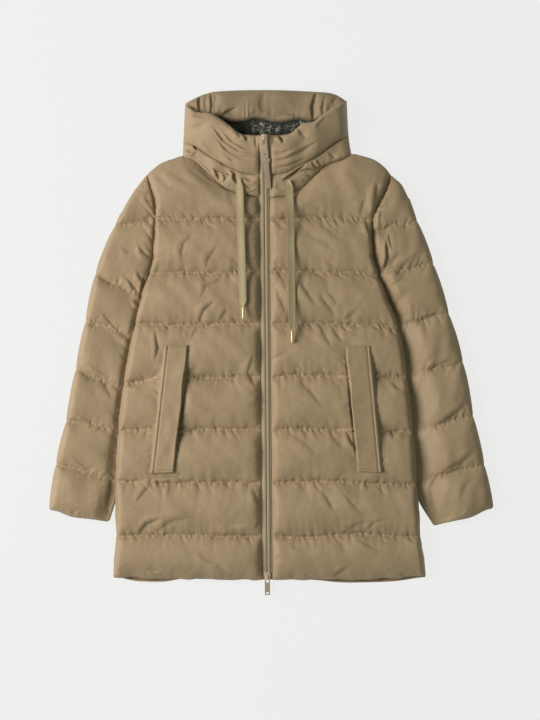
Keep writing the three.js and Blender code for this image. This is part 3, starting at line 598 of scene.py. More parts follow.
# %% Dressing a piece
def dress(obj, mat, node_name=None, body="jacket"):
    """Gives a piece its material, hides the CAD part that it stands for, and hangs it on the body
    that it rides on."""
    obj.data.materials.append(mat)
    if node_name:
        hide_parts(node_name)
    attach(obj, body)


# %% Cord weave
cord = material("woven_cord", colour(150, 134, 99), 0.75, Sheen_Weight=0.25)
where = place(cord, from_uv=True)
slant = combine(cord, "ADD", threads(cord, where, 0.0012, "DIAGONAL"),
                threads(cord, where, 0.0007, "X"))
# Painted shade: the cord's colour is darker towards both edges. |u| is the distance from the
# middle.
apart = node(cord, "ShaderNodeSeparateXYZ")
link(cord, where, "Vector", apart, "Vector")
from_middle = node(cord, "ShaderNodeMath", operation="ABSOLUTE")
link(cord, apart, "X", from_middle, 0)
edge_painted_shade = combine(cord, "MULTIPLY", from_middle, 2 / (CORD_WIDE * MM))
shade = combine(cord, "SUBTRACT", combine(cord, "MULTIPLY", slant, 0.3), edge_painted_shade)
finish(cord, bump(cord, slant, 0.00014),
       ramp(cord, combine(cord, "ADD", shade, 0.9), (0.0, colour(128, 115, 84)),
            (0.45, colour(158, 141, 106)), (1.0, colour(182, 164, 126))))

# %% Woven cords
CORD_MOUTH = {"left": 17.0, "right": 14.0}      # over this length it widens from its eyelet
CORD_PINCH = {"left": 13.0, "right": 10.0}      # over this one its end folds to its tip
CORD_TURN = {"left": 0, "right": -28}           # degrees
CORD_CURL = {"left": 0.3, "right": 1.6}         # of its right edge, mm
cords = {}
for side in SIDES:
    at, line = cord_line(side)
    pinch = smooth(0, CORD_PINCH[side], at[-1] - at)
    wide = CORD_WIDE * np.minimum(0.3 + 0.7 * smooth(0, CORD_MOUTH[side], at),
                                  0.24 + 0.76 * pinch)
    thick = CORD_THICK * (1 + 0.5 * (1 - pinch))
    turn = np.radians(4 * uneven(at, 90, 31)) * smooth(0, 30, at)
    turn = turn + np.radians(CORD_TURN[side]) * smooth(0, 14, at) * (
        0.8 + 0.2 * smooth(80, 200, at))
    # A turned cord stands on its edge, so its middle rises.
    line[:, 2] += 0.3 * wide / CORD_WIDE * np.abs(np.sin(turn)) * 6
    obj = tube(f"drawcord_{side}_woven", line, wide, thick, turn, CORD_CURL[side])
    dress(obj, cord, f"drawcord_{side}")
    cords[side] = (obj, line)
    print("cord", side, "is", round(float(at[-1]), 1), "mm long")

# %% Cord tips
def lathe(name, profile, centre, sides=28):
    """Turns a profile of (distance along, radius) round a line that runs down the garment from
    `centre`. Each end is closed by one face."""
    profile = np.asarray(profile, float)
    angle = np.arange(sides) / sides * 2 * np.pi
    r = profile[:, 1:]
    x = centre[0] + r * np.cos(angle)
    y = centre[1] - profile[:, :1] + 0 * x      # the same all round a ring
    z = centre[2] + r * np.sin(angle)
    points = np.stack([x, y, z], -1).reshape(-1, 3)
    return mesh_object(name, points, tube_faces(len(profile), sides))


# A rolled brass tube: a lip at its mouth, two crimped rings, and a rounded end.
TIP_PROFILE = [
    (0.3, 2.0), (0.45, 2.5), (0.9, 2.65), (1.5, 2.6), (2.0, 2.45), (3.2, 2.4), (3.7, 2.2),
    (4.2, 2.2), (4.7, 2.4), (5.6, 2.4), (6.1, 2.2), (6.6, 2.2), (7.1, 2.4), (12, 2.35),
    (18.6, 2.3), (19.3, 2.1), (19.8, 1.6), (20.0, 0.9)]
for side in SIDES:
    end = np.array(CORD_ROUTES[side][-1], float)
    tip = lathe(f"cord_tip_{side}_turned", TIP_PROFILE, end + (0, 0, 1.0))
    dress(tip, brass, f"cord_tip_{side}")
    obj, line = cords[side]
    print("tip", side, "at y", round(float(end[1]), 1))
# The lines that the tips lie on, which the cloth under them gives way to.
tip_lines = {side: np.array(CORD_ROUTES[side][-1]) + np.array([(0, 3, -1.4), (0, -21, -1.4)])
             for side in SIDES}

# %% [markdown]
# ## The body's grid
# A front is one cloth with seven lines of quilting across it. The grid's rows lie on those
# lines, so a seam is a row of points that can be held down while the cloth between two seams is
# blown up. Cutting a fine mesh by a line afterwards would leave ragged seams.

# %% Body grid
FRONT_STEPS = 24                    # rows in one channel
FRONT_COLS = 73


def seam_wander(x, line, side):
    """How far a quilt line strays from straight at a distance x from the zip: three ripples."""
    own = line + (10 if side == "left" else 0)
    return (1.3 * uneven(x, 130, 40 + own) + 0.6 * uneven(x, 40, 80 + line)
            + 0.55 * uneven(x, 15, 90 + own))


# How far each quilt line dips where it reaches the side seam, from the top line down.
SIDE_DIP = {"left": (3, 5, 2, 10, 2, 1, 0), "right": (2, 9, 8, 2, 3, 4, 2)}
DIP_RUN = 32                        # the distance over which a dip fades
SIDE_BULGE = 2.4                    # how far a channel pushes the side seam out


def channel(f):
    """A channel's rounded height, sin(pi*f)^0.52: 0 at its two seams and 1 between them."""
    return np.sin(np.pi * np.clip(f, 0, 1)) ** 0.52


# %% Rows and hem
def body_rows(r):
    """For rows counted in channels from the armhole down: the channel's number, the share of it
    that lies above the row, and the row's height up the body."""
    block = np.minimum(np.floor(r), QUILT_LINES)
    f = r - block
    start = np.where(block == 0, ARMHOLE_TOP_Y, FIRST_QUILT_Y - (block - 1) * QUILT_PITCH)
    stop = np.where(block == QUILT_LINES, HEM_Y, FIRST_QUILT_Y - block * QUILT_PITCH)
    return block, f, start + (stop - start) * f


def hem_line(x):
    """The hem: a shallow arc, lowest in the middle."""
    return HEM_Y - HEM_DROP * (1 - np.minimum(np.abs(x) / 270, 1) ** 2)


def body_grid(side, steps, cols):
    """Points of a body panel: rows run down it and columns to the right. A row lies between two
    quilt lines by its share of the channel, and a column between the zip and the side seam by
    its share of the width. The first channel's rows fan out from the neckline and the shoulder,
    and each row strays from level as its two nearest quilt lines do."""
    r = np.arange((QUILT_LINES + 1) * steps + 1)[:, None] / steps
    block, f, level = body_rows(r)
    across = np.linspace(0, 1, cols)[None, :]
    if side == "left":
        across = across[:, ::-1]
    half = np.abs(read(SIDE, level, COLUMN[side]) - zip_line(level))
    stray = 0 * (r + across)
    for line in range(QUILT_LINES):
        share = np.clip(1 - np.abs(r - 1 - line), 0, 1)
        dip = SIDE_DIP[side][line] * np.exp(-(1 - across) * half / DIP_RUN)
        wave = seam_wander(half * across, line, side) * smooth(0, 0.08, across)
        stray = stray + share * (wave - dip)
    level = level + stray
    # The side seam: pushed out by each channel, and jagged where the cloth bunches.
    side_x = read(SIDE, level, COLUMN[side])
    side_x = side_x + OUT[side] * SIDE_BULGE * (channel(f) - 0.35) * (block > 0)
    jagged = 0.8 * uneven(level, 34, 95) + 0.35 * uneven(level, 13, 96)
    jagged = jagged * (0.3 + 0.7 * smooth(20, 90, level))
    side_x = side_x + OUT[side] * jagged * smooth(ARMHOLE_TOP_Y, ARMHOLE_TOP_Y - 40, level)
    zip_x = zip_line(level) + OUT[side] * (TAPE_WIDTH + 2 * GAP)
    x = zip_x + (side_x - zip_x) * across
    top = read(TOP_EDGE, across, COLUMN[side])
    y = np.where(block == 0, top * (1 - f) + (FIRST_QUILT_Y + stray) * f, level)
    hem = hem_line(x) + 1.3 * uneven(x, 46, 71) * smooth(0, 0.1, across)
    y = np.where(block == QUILT_LINES, (LAST_QUILT_Y + stray) * (1 - f) + hem * f, y)
    return {"x": x, "y": y, "f": f + 0 * x, "block": block + 0 * x, "r": r + 0 * x,
            "across": across + 0 * x, "to_side": np.abs(side_x - x),
            "to_zip": np.abs(x - zip_x)}


print("a front's grid is", body_grid("left", FRONT_STEPS, FRONT_COLS)["x"].shape, "points")

# %% [markdown]
# ## Blowing the panels up
# The padding pushes the cloth out between its seams. The cloth could be domed with a sine, but
# then it has no slack: real quilting is cut larger than it lies, so it wrinkles. Here each panel
# is cut for a high dome but starts as a lower one. Blender's cloth holds it at every sewn row
# and edge, and an even pressure pushes the slack up. All panels run through the same frames.

# %% Cloth simulation
SIM_FRAMES = 20
CLOTH_GROWTH = 0.004                # of each thread's length
PRESSURE = 45
BENDING = 0.03
MOST_MOVE = 13                      # mm that a point may move from where it starts


def grid_faces(rows, cols, first=0):
    """The squares of a grid of points that is numbered row by row, facing up."""
    a = first + np.arange(rows - 1)[:, None] * cols + np.arange(cols - 1)[None, :]
    return np.stack([a, a + cols, a + cols + 1, a + 1], -1).reshape(-1, 4)


def inflate(panels):
    """Runs the cloth simulation on panels of start and cut heights, and gives each panel's
    points afterwards."""
    made = []
    for panel in panels:
        start = np.stack([panel["x"], panel["y"], panel["z"]], -1).reshape(-1, 3)
        obj = mesh_object("cut", start, grid_faces(*panel["x"].shape).tolist())
        sewn = obj.vertex_groups.new(name="sewn")
        sewn.add(np.flatnonzero(panel["sewn"].ravel()).tolist(), 1.0, "REPLACE")
        obj.shape_key_add(name="start")
        key = obj.shape_key_add(name="cut")
        cut = np.stack([panel["x"], panel["y"], panel["cut_z"]], -1).reshape(-1)
        key.data.foreach_set("co", (cut * MM).astype(np.float32))
        cloth = obj.modifiers.new("cloth", "CLOTH")
        own = cloth.settings
        own.quality = 4
        own.mass = 0.001
        own.tension_stiffness = own.compression_stiffness = 5
        own.shear_stiffness = 1
        own.bending_stiffness = BENDING
        own.air_damping = 1
        own.use_pressure = True
        own.uniform_pressure_force = PRESSURE
        own.shrink_min = -CLOTH_GROWTH
        own.vertex_group_mass = "sewn"
        own.pin_stiffness = 1
        own.rest_shape_key = key
        own.effector_weights.gravity = 0
        cloth.collision_settings.use_collision = False
        cloth.collision_settings.use_self_collision = False
        cloth.point_cache.frame_start = 1
        cloth.point_cache.frame_end = SIM_FRAMES
        made.append((obj, start, panel))
    scene.frame_start, scene.frame_end = 1, SIM_FRAMES
    frames = range(1, SIM_FRAMES + 1)
    for number in frames:
        scene.frame_set(number)
    results = []
    depsgraph = bpy.context.evaluated_depsgraph_get()
    for obj, start, panel in made:
        done = obj.evaluated_get(depsgraph).to_mesh()
        points = np.zeros(len(done.vertices) * 3, np.float32)
        done.vertices.foreach_get("co", points)
        moved = points.reshape(-1, 3).astype(float) / MM
        moved = start + np.clip(moved - start, -MOST_MOVE, MOST_MOVE)
        results.append(moved.reshape(*panel["x"].shape, 3))
        print("moved up by", round(float((moved - start)[:, 2].max()), 2), "mm at most,",
              round(float((moved - start)[:, 2].mean()), 2), "mm on average")
        bpy.data.objects.remove(obj)
    scene.frame_set(1)
    return results


# %% [markdown]
# ## Closing a panel
# A sewn panel is two cloths joined at their edge. The upper cloth shows every wrinkle, so its
# grid is made twice as fine; the lower one lies on what is under it and stays coarse. A
# Subdivision modifier would refine both and double the triangles for nothing.

# %% Closed panels
def finer(points):
    """Doubles the rows and columns of a grid of points. A new point is nine sixteenths of its
    two neighbours less one sixteenth of the next two, which is a smooth curve's middle."""
    for axis in (0, 1):
        points = np.moveaxis(points, axis, 0)
        n = len(points)
        wide = np.concatenate([2 * points[:1] - points[1:2], points,
                               2 * points[-1:] - points[-2:-1]])
        middle = (9 * (wide[1:n] + wide[2:n + 1]) - wide[:n - 1] - wide[3:n + 2]) / 16
        out = np.empty((2 * n - 1, *points.shape[1:]))
        out[0::2], out[1::2] = points, middle
        points = np.moveaxis(out, 0, axis)
    return points


def steps_in(rows, cols):
    """How many rows or columns each point of a grid lies in from the border."""
    i, j = np.arange(rows)[:, None], np.arange(cols)[None, :]
    return np.minimum(np.minimum(i, rows - 1 - i), np.minimum(j, cols - 1 - j))


def rim(rows, cols):
    """The numbers of a grid's border points, once round against the clock from above."""
    return np.concatenate([
        np.arange(rows - 1) * cols,
        (rows - 1) * cols + np.arange(cols - 1),
        np.arange(rows - 1, 0, -1) * cols + cols - 1,
        np.arange(cols - 1, 0, -1)])


def closed_panel(name, upper, lower):
    """One closed mesh from an upper grid and a lower grid that has half its rows and columns,
    or as many. Faces with five corners, or four, join the two borders."""
    rows, cols = upper.shape[:2]
    low_rows, low_cols = lower.shape[:2]
    first = rows * cols
    points = np.concatenate([upper.reshape(-1, 3), lower.reshape(-1, 3)])
    under = grid_faces(low_rows, low_cols, first)[:, ::-1]
    top_rim, low_rim = rim(rows, cols), first + rim(low_rows, low_cols)
    step = (rows - 1) // (low_rows - 1)
    ahead = np.roll(low_rim, -1)
    corners = [np.roll(top_rim, -k)[::step] for k in range(step + 1)]
    wall = np.stack([low_rim, ahead, *corners[::-1]], -1)
    faces = grid_faces(rows, cols).tolist() + under.tolist() + wall.tolist()
    return mesh_object(name, points, faces)


def count(obj):
    """Prints how many triangles a piece has once its modifiers are on."""
    done = obj.evaluated_get(bpy.context.evaluated_depsgraph_get())
    mesh = done.to_mesh()
    mesh.calc_loop_triangles()
    print(f"{obj.name:24s}{len(mesh.loop_triangles):8d} triangles")
    done.to_mesh_clear()

# %% [markdown]
# ## Fronts
# Each front lies from the neckline and shoulder to the hem. Its cloth is held at the quilt
# lines, at its edges and under the pocket welt. Once it is blown up, gathers are put in beside
# the seams, where sewing would pull them, and the larger creases of a garment that has been
# folded and laid out are pressed in.

# %% Front creases
WELTS = {
    "left": [(-187, -5), (-146, -3.5), (-171, -226.5), (-212, -228)],
    "right": [(130.2, -5.5), (173.8, -4.5), (194.3, -226.5), (151.7, -224.5)],
}
WELT_LEVEL = 32.3

# Creases: the points of each one's line, its width, its depth, and its lip. The last one of
# each side, and the first on the left, run down the open edge of the welt.
FRONT_FOLDS = {
    "left": [
        ([(-147.3, -25.8), (-154.8, -92.7), (-162.3, -159.6), (-169.1, -219.8)], 2.6, 6.0, 0.0),
        ([(-136.5, 190), (-152, 174), (-156, 158), (-155, 142)], 6, 2.2, 0.5),
        ([(-95, 168), (-110, 145), (-115, 128)], 6, 2.0, 0.6),
        ([(-65, 116), (-92, 108), (-113, 98), (-124, 77)], 6, 2.4, 0.6),
        ([(-99, 73), (-117, 57), (-126, 34)], 5, 3.2, 0.7),
        ([(-76, 60), (-91, 37)], 4, 2.0, 0.6),
        ([(-128, 305), (-110, 292), (-91, 279), (-63, 267)], 5, 2.0, 0.7),
        ([(-150, 309), (-118, 286), (-90, 270)], 9, 1.8, 0.5),
        ([(-187, 305), (-156, 288), (-126, 272)], 11, 2.6, 0.5),
        ([(-205, 297), (-180, 276), (-140, 258)], 12, 2.0, 0.4),
        ([(-212, -249), (-222, -262), (-236, -278)], 5, 2.6, 0.7),
        ([(-196, -240), (-199, -252)], 4, 1.8, 0.6),
        ([(-180, -236), (-176, -256), (-182, -270)], 5, 1.8, 0.5),
        ([(-191, -306), (-218, -318), (-233, -336)], 5, 3.2, 0.8),
        ([(-142, -305), (-176, -314), (-205, -334)], 8, 2.6, 0.7),
        ([(-98, -306), (-72, -317), (-41, -315)], 8, 2.4, 0.6),
        ([(-34, -250), (-26, -268), (-19, -287)], 6, 3.0, 0.5),
        ([(-218, -394), (-206, -399), (-192, -399)], 4, 2.2, 0.7),
        ([(-113, -384), (-95, -386), (-77, -399)], 6, 3.2, 0.7),
        ([(-128, -366), (-112, -377), (-90, -380)], 10, 2.4, 0.4),
        ([(-203, 24), (-200, 6), (-197, -8), (-203, -30)], 4, 3.4, 0.6),
        ([(-140, 8), (-133, 20), (-120, 30)], 4, 2.0, 0.6),
        ([(-30, -20), (-40, -52), (-26, -80)], 5, 2.6, 0.6),
        ([(-262, -62), (-240, -74), (-225, -72)], 4, 2.4, 0.6),
        ([(-78, 268), (-70, 258), (-66, 240)], 8, 1.6, 0.4),
        ([(-143, -15), (-151, -80), (-162, -150), (-168, -210)], 3, 4.0, 0.0),
    ],
    "right": [
        ([(80, 216), (102, 198), (120, 181)], 7, 2.0, 0.6),
        ([(61, 194), (91, 177), (111, 163)], 9, 1.8, 0.5),
        ([(93, 147), (111, 129)], 6, 1.6, 0.5),
        ([(163, 251), (160, 236), (156, 221)], 7, 2.4, 0.5),
        ([(185, 281), (184, 255), (181, 224)], 6, 4.5, 0.7),
        ([(165, 218), (169, 203), (175, 186)], 4, 3.4, 0.8),
        ([(48, 112), (63, 90), (77, 67)], 6, 2.8, 0.7),
        ([(84, 86), (98, 68), (112, 49)], 6, 2.4, 0.6),
        ([(97, 92), (110, 78), (118, 66)], 6, 1.8, 0.5),
        ([(126, 40), (140, 48), (152, 60)], 5, 2.2, 0.6),
        ([(150, 40), (170, 33), (188, 24)], 4, 2.4, 0.7),
        ([(86, 32), (96, 10), (106, -6)], 6, 2.4, 0.6),
        ([(104, 30), (118, 12), (126, 2)], 5, 2.2, 0.6),
        ([(49, -64), (73, -88), (89, -110)], 7, 2.6, 0.5),
        ([(34, -158), (58, -172), (80, -194)], 8, 2.2, 0.5),
        ([(104, -158), (118, -174), (124, -184)], 6, 1.8, 0.5),
        ([(130, -152), (140, -170), (149, -187)], 5, 3.6, 0.8),
        ([(88, -254), (100, -273), (110, -294)], 6, 2.6, 0.6),
        ([(124, -260), (142, -280), (158, -297)], 5, 2.0, 0.4),
        ([(168, -236), (166, -248), (172, -256)], 4, 2.0, 0.6),
        ([(158, -336), (180, -315), (206, -305)], 4, 1.6, 0.4),
        ([(120, -338), (150, -318), (176, -312)], 5, 1.5, 0.4),
        ([(109, -408), (122, -402), (134, -392)], 5, 3.0, 0.7),
        ([(30, -352), (60, -362), (92, -360)], 9, 1.8, 0.4),
        ([(150, -342), (176, -356), (190, -360)], 5, 2.0, 0.6),
        ([(208, -66), (222, -78), (238, -80)], 5, 2.6, 0.7),
        ([(205, -150), (214, -162), (228, -150)], 5, 2.6, 0.7),
        ([(10, 130), (22, 110), (27, 88)], 6, 1.8, 0.5),
        ([(8, 95), (20, 70), (26, 50)], 6, 2.0, 0.5),
        ([(125, 305), (150, 292), (180, 284)], 16, 1.6, 0.3),
        ([(129, -12), (136, -80), (143.2, -150), (150, -215)], 2.6, 6.5, 0.0),
    ],
}
print("creases on the fronts:", {side: len(FRONT_FOLDS[side]) for side in SIDES})


# %% Outlines, rounded edges and cord marks
def inside(x, y, corners):
    """How far a point lies inside a convex outline: the least of its distances to the edges'
    lines, below 0 outside."""
    corners = np.asarray(corners, float)
    middle = corners.mean(0)
    least = np.full(np.broadcast(x, y).shape, 1e9)
    for (ax, ay), (bx, by) in zip(corners, np.roll(corners, -1, 0)):
        nx, ny = ay - by, bx - ax
        size = math.hypot(nx, ny)
        inward = np.sign((middle[0] - ax) * nx + (middle[1] - ay) * ny) / size
        least = np.minimum(least, ((x - ax) * nx + (y - ay) * ny) * inward)
    return least


def edge_roll(distance, run):
    """Rounds a padded piece off towards its edge: a quarter of a circle over this width."""
    t = 1 - np.clip(distance / run, 0, 1)
    return np.sqrt(np.maximum(0, 1 - t**2))


def press(points, line, half, under):
    """Pushes cloth down where a cord lies on it: under the cord it is no higher than the line
    less `under`, and beside it the limit rises with the square of the distance."""
    x, y, z = points[..., 0], points[..., 1], points[..., 2]
    line = line[np.argsort(line[:, 1])]
    at = np.clip(y, line[0, 1], line[-1, 1])
    cx, cz = (np.interp(at, line[:, 1], line[:, k]) for k in (0, 2))
    past = np.hypot(np.maximum(np.abs(x - cx) - half, 0), y - at)
    points[..., 2] = np.minimum(z, cz - under + past**2 * 0.12)
    return points


# %% Front panels
RIM_RISE = 3.0                      # the edge seam, above the surface the panel lies on
FRONT_FILL = 15.5
START_SHARE = 0.75                  # of the height it is cut for, where a panel starts
SIDE_ROLL = {"left": 3.5, "right": 4}
ZIP_ROLL = {"left": 9, "right": 4.5}
# How much lower a front is beside the zip and beside its side seam, and over how far.
ZIP_SLOPE = {"left": (0.24, 24), "right": (0.14, 30)}
SIDE_SLOPE = {"left": (0.02, 40), "right": (0.05, 40)}
FRONT_SEED = {"left": 100, "right": 200}


def front_gathers(side, g):
    """The gathers of a front, in mm, on a grid as fine as its finished cloth: puckers of two
    sizes above and below each quilt line, and more beside the zip, the side seam and the welt;
    and over all of it wide, low wrinkles that run askew."""
    seed, x, y = FRONT_SEED[side], g["x"], g["y"]
    depth = inside(x, y, WELTS[side])
    clear = smooth(0, 24, g["to_zip"]) * smooth(0, 14, g["to_side"]) * smooth(0, 12, -depth)
    total = 0 * x
    for line in range(QUILT_LINES):
        below = (g["r"] - 1 - line) * QUILT_PITCH
        askew = 0.9 if line < 3 else 0.35
        for sign, pitch, reach, size in (
                (1, 11, 15, 1.9), (1, 6, 5, 1.7), (-1, 12, 12, 2.2), (-1, 6, 4.5, 1.9)):
            total = total + puckers(x, sign * below, pitch, reach, size, sign * askew,
                                    seed + 40 * line + 7 * pitch + sign)
    above_hem = (QUILT_LINES + 1 - g["r"]) * QUILT_PITCH
    total = total + puckers(x, above_hem, 13, 12, 1.8, -0.2, seed + 7)
    total = total * (0.25 + 0.75 * clear)
    total = total + puckers(y, g["to_zip"], 10, 13, 2.6, 0.6 * OUT[side], seed + 91)
    total = total + puckers(y, g["to_side"], 12, 9, 1.6, 0.2, seed + 92)
    beside_welt = (depth < 0) * (np.abs(y + 115) < 125)
    total = total + puckers(y, -depth, 11, 10, 2.2, 0.2, seed + 93) * beside_welt
    slant = ripple(0.8 * x + 0.6 * y, 0.3 * (0.6 * x - 0.8 * y), 30, seed + 94)
    middle = channel(g["f"]) ** 2 * smooth(0, 40, g["to_side"]) * smooth(0, 30, g["to_zip"])
    total = total + (0.28 + 0.22 * smooth(-60, 60, y)) * slant * middle
    return total * (depth < 0)


# %% Front heights
def front_panel(side):
    """A front's grid with the heights it is cut to and starts from. Above its seams a channel
    rises as sin(pi*f)^0.52, rounded off towards the side seam and the zip. Its sewn rows ripple
    a little, and round the welt the cloth is lifted to the welt's level."""
    g = body_grid(side, FRONT_STEPS, FRONT_COLS)
    seed, x, y = FRONT_SEED[side], g["x"], g["y"]
    g["base"] = layer_level(y) + GAP
    edges = edge_roll(g["to_side"], SIDE_ROLL[side]) * edge_roll(g["to_zip"], ZIP_ROLL[side])
    (drop, run), (side_drop, side_run) = ZIP_SLOPE[side], SIDE_SLOPE[side]
    arch = (1 - drop * (1 - smooth(-0.3 * run, run, g["to_zip"]))) * (
        1 - side_drop * (1 - smooth(-0.3 * side_run, side_run, g["to_side"])))
    clumps = 1 + 0.07 * ripple(x, y, 70, seed)
    rise = channel(g["f"]) * edges * arch * clumps
    at_neck = (g["block"] == 0) * smooth(0.5, 1, 1 - g["f"]) * (g["across"] < NECK_END)
    rim_rise = RIM_RISE + (SEAM_THICK - RIM_RISE) * np.maximum(
        edge_roll(g["to_side"], 9) * (1 - (g["block"] == QUILT_LINES) * g["f"] ** 4), at_neck)
    depth = inside(x, y, WELTS[side])
    level = g["base"] + rim_rise
    cut = level + FRONT_FILL * rise
    start = level + START_SHARE * FRONT_FILL * rise
    on_seam = g["r"] % 1 == 0
    on_seam[:, 0] = on_seam[:, -1] = True
    ends = (g["r"] == 0) | (g["r"] == QUILT_LINES + 1)
    ends[:, 0] = ends[:, -1] = True
    lifted = smooth(-26, 0.5, depth) * (g["to_zip"] > 1) * smooth(0, 6, g["to_side"])
    held = level + 0.5 * ripple(x, y, 22, seed + 94) * edges
    held = held * (1 - lifted) + WELT_LEVEL * lifted
    start = np.where(on_seam, held, np.where(depth > 1, WELT_LEVEL, start))
    start = np.where(ends, level, start)
    sewn = on_seam | (depth > 1)
    g.update(z=start, cut_z=np.where(sewn, start, cut), sewn=sewn)
    return g


fronts = {side: front_panel(side) for side in SIDES}
print("points held down on the left front:", int(fronts["left"]["sewn"].sum()))

# %% [markdown]
# ## Sleeves
# Laid flat, a sleeve is a tapering panel whose sewn lines run askew, from the outer fold down
# to the body. The lines come from a table of where each one ends on the outer edge; the inner
# end lies on the body's own side seam. Blown up, it is rounder than the body, because a sleeve
# is a tube.

# %% Sleeve grid
SLEEVE_STEPS = 6                    # rows of the grid for one row of the table
SLEEVE_COLS = 31
SLEEVE_ROWS = 28
CUFF_ROW = 24                       # below it the sleeve leaves the body's side
# Each row: its number, where its outer end lies, and whether it is sewn.
SLEEVE_TABLE = {
    "left": np.array([
        (0, -222, 291, 0), (2, -247, 257, 0), (4, -275, 205, 1), (7, -293, 163, 0),
        (10, -308.5, 121, 1), (13, -326, 38.5, 1), (17, -343, -45.5, 1), (20, -360, -136.5, 1),
        (24, -377.7, -212.5, 1), (28, -390, -295, 0)]),
    "right": np.array([
        (0, 213, 292, 0), (2, 231.5, 273, 0), (5, 256.5, 213.5, 1), (8, 285, 138, 1),
        (12, 312, 51, 1), (16, 336.5, -34, 1), (20, 354.5, -128, 1), (24, 374, -213.5, 1),
        (28, 390, -292, 0)]),
}
CUFF_INNER = {
    "left": np.array([(24, -272.5, -245), (26, -275.3, -280), (28, -284, -312.5)]),
    "right": np.array([(24, 255, -245), (26, 259.7, -277), (28, 284, -320)]),
}
CUFF_BULGE = 2.0
SLEEVE_ROW = 22                     # the usual height of a row
SLEEVE_WIDE = 110                   # and the usual width of a sleeve
TUCK = 2.4                          # how far a sleeve's inner edge goes in under the body
OUTER_BULGE = 3.0                   # how far a channel pushes the outer fold out

# %% Sleeve creases
SLEEVE_FOLDS = {
    "left": [
        ([(-236, 126), (-226, 112), (-216, 96)], 5, 4.0, 0.8),
        ([(-250, 110), (-234, 92), (-226, 72)], 5, 3.4, 0.8),
        ([(-262, 122), (-246, 108), (-238, 90)], 6, 2.4, 0.6),
        ([(-243, 72), (-233, 68), (-226, 62)], 2.8, 6.5, 0.4),
        ([(-222, 118), (-227, 92), (-229, 62)], 2.8, 10.0, 0.2),
        ([(-296, 53), (-278, 33), (-258, 11)], 5, 3.2, 0.8),
        ([(-270, 30), (-256, 14), (-246, -2)], 6, 2.6, 0.6),
        ([(-262, 168), (-250, 160), (-232, 163)], 6, 2.0, 0.5),
        ([(-222, 220), (-214, 214), (-207, 216)], 5, 2.4, 0.6),
        ([(-232, 170), (-222, 158), (-212, 150)], 5, 3.4, 0.8),
        ([(-320, -38), (-300, -48), (-272, -66)], 5, 2.2, 0.6),
        ([(-300, -62), (-284, -84), (-278, -100)], 7, 2.2, 0.5),
        ([(-340, -120), (-312, -140), (-284, -150)], 6, 2.2, 0.6),
        ([(-350, -196), (-320, -220), (-296, -228)], 6, 2.4, 0.6),
        ([(-281, -238), (-283, -262), (-289, -290)], 4, 6.0, 0.3),
        ([(-326, 20), (-318, 30), (-306, 34)], 5, 1.6, 0.5),
        ([(-222, 260), (-213, 246), (-206, 232)], 6, 2.0, 0.5),
    ],
    "right": [
        ([(196, 245), (192, 222), (190, 198)], 6, 2.6, 0.6),
        ([(205, 193), (207, 178), (211, 164)], 2.6, 4.0, 0.3),
        ([(201, 184), (203, 149), (192, 106)], 3.2, 8.0, 0.3),
        ([(226, 158), (212, 142), (206, 124)], 6, 2.4, 0.6),
        ([(244, 150), (228, 128), (214, 112)], 6, 3.0, 0.7),
        ([(258, 160), (246, 140), (240, 118)], 6, 2.2, 0.5),
        ([(232, 112), (218, 104), (206, 92)], 5, 2.8, 0.7),
        ([(214, 84), (226, 72), (232, 56)], 6, 2.6, 0.6),
        ([(290, 50), (268, 42), (240, 28)], 5, 2.4, 0.6),
        ([(246, 44), (236, 22), (230, 4)], 7, 3.4, 0.7),
        ([(316, -30), (290, -40), (258, -64)], 5, 2.4, 0.6),
        ([(284, -46), (266, -70), (258, -92)], 7, 2.2, 0.5),
        ([(338, -108), (318, -128), (290, -146)], 6, 2.6, 0.7),
        ([(354, -190), (330, -212), (306, -222)], 6, 2.6, 0.6),
        ([(292, -230), (282, -258), (286, -288)], 9, 2.6, 0.5),
        ([(352, -236), (340, -252), (332, -270)], 9, 2.0, 0.4),
    ],
}
print("creases on the sleeves:", {side: len(SLEEVE_FOLDS[side]) for side in SIDES})


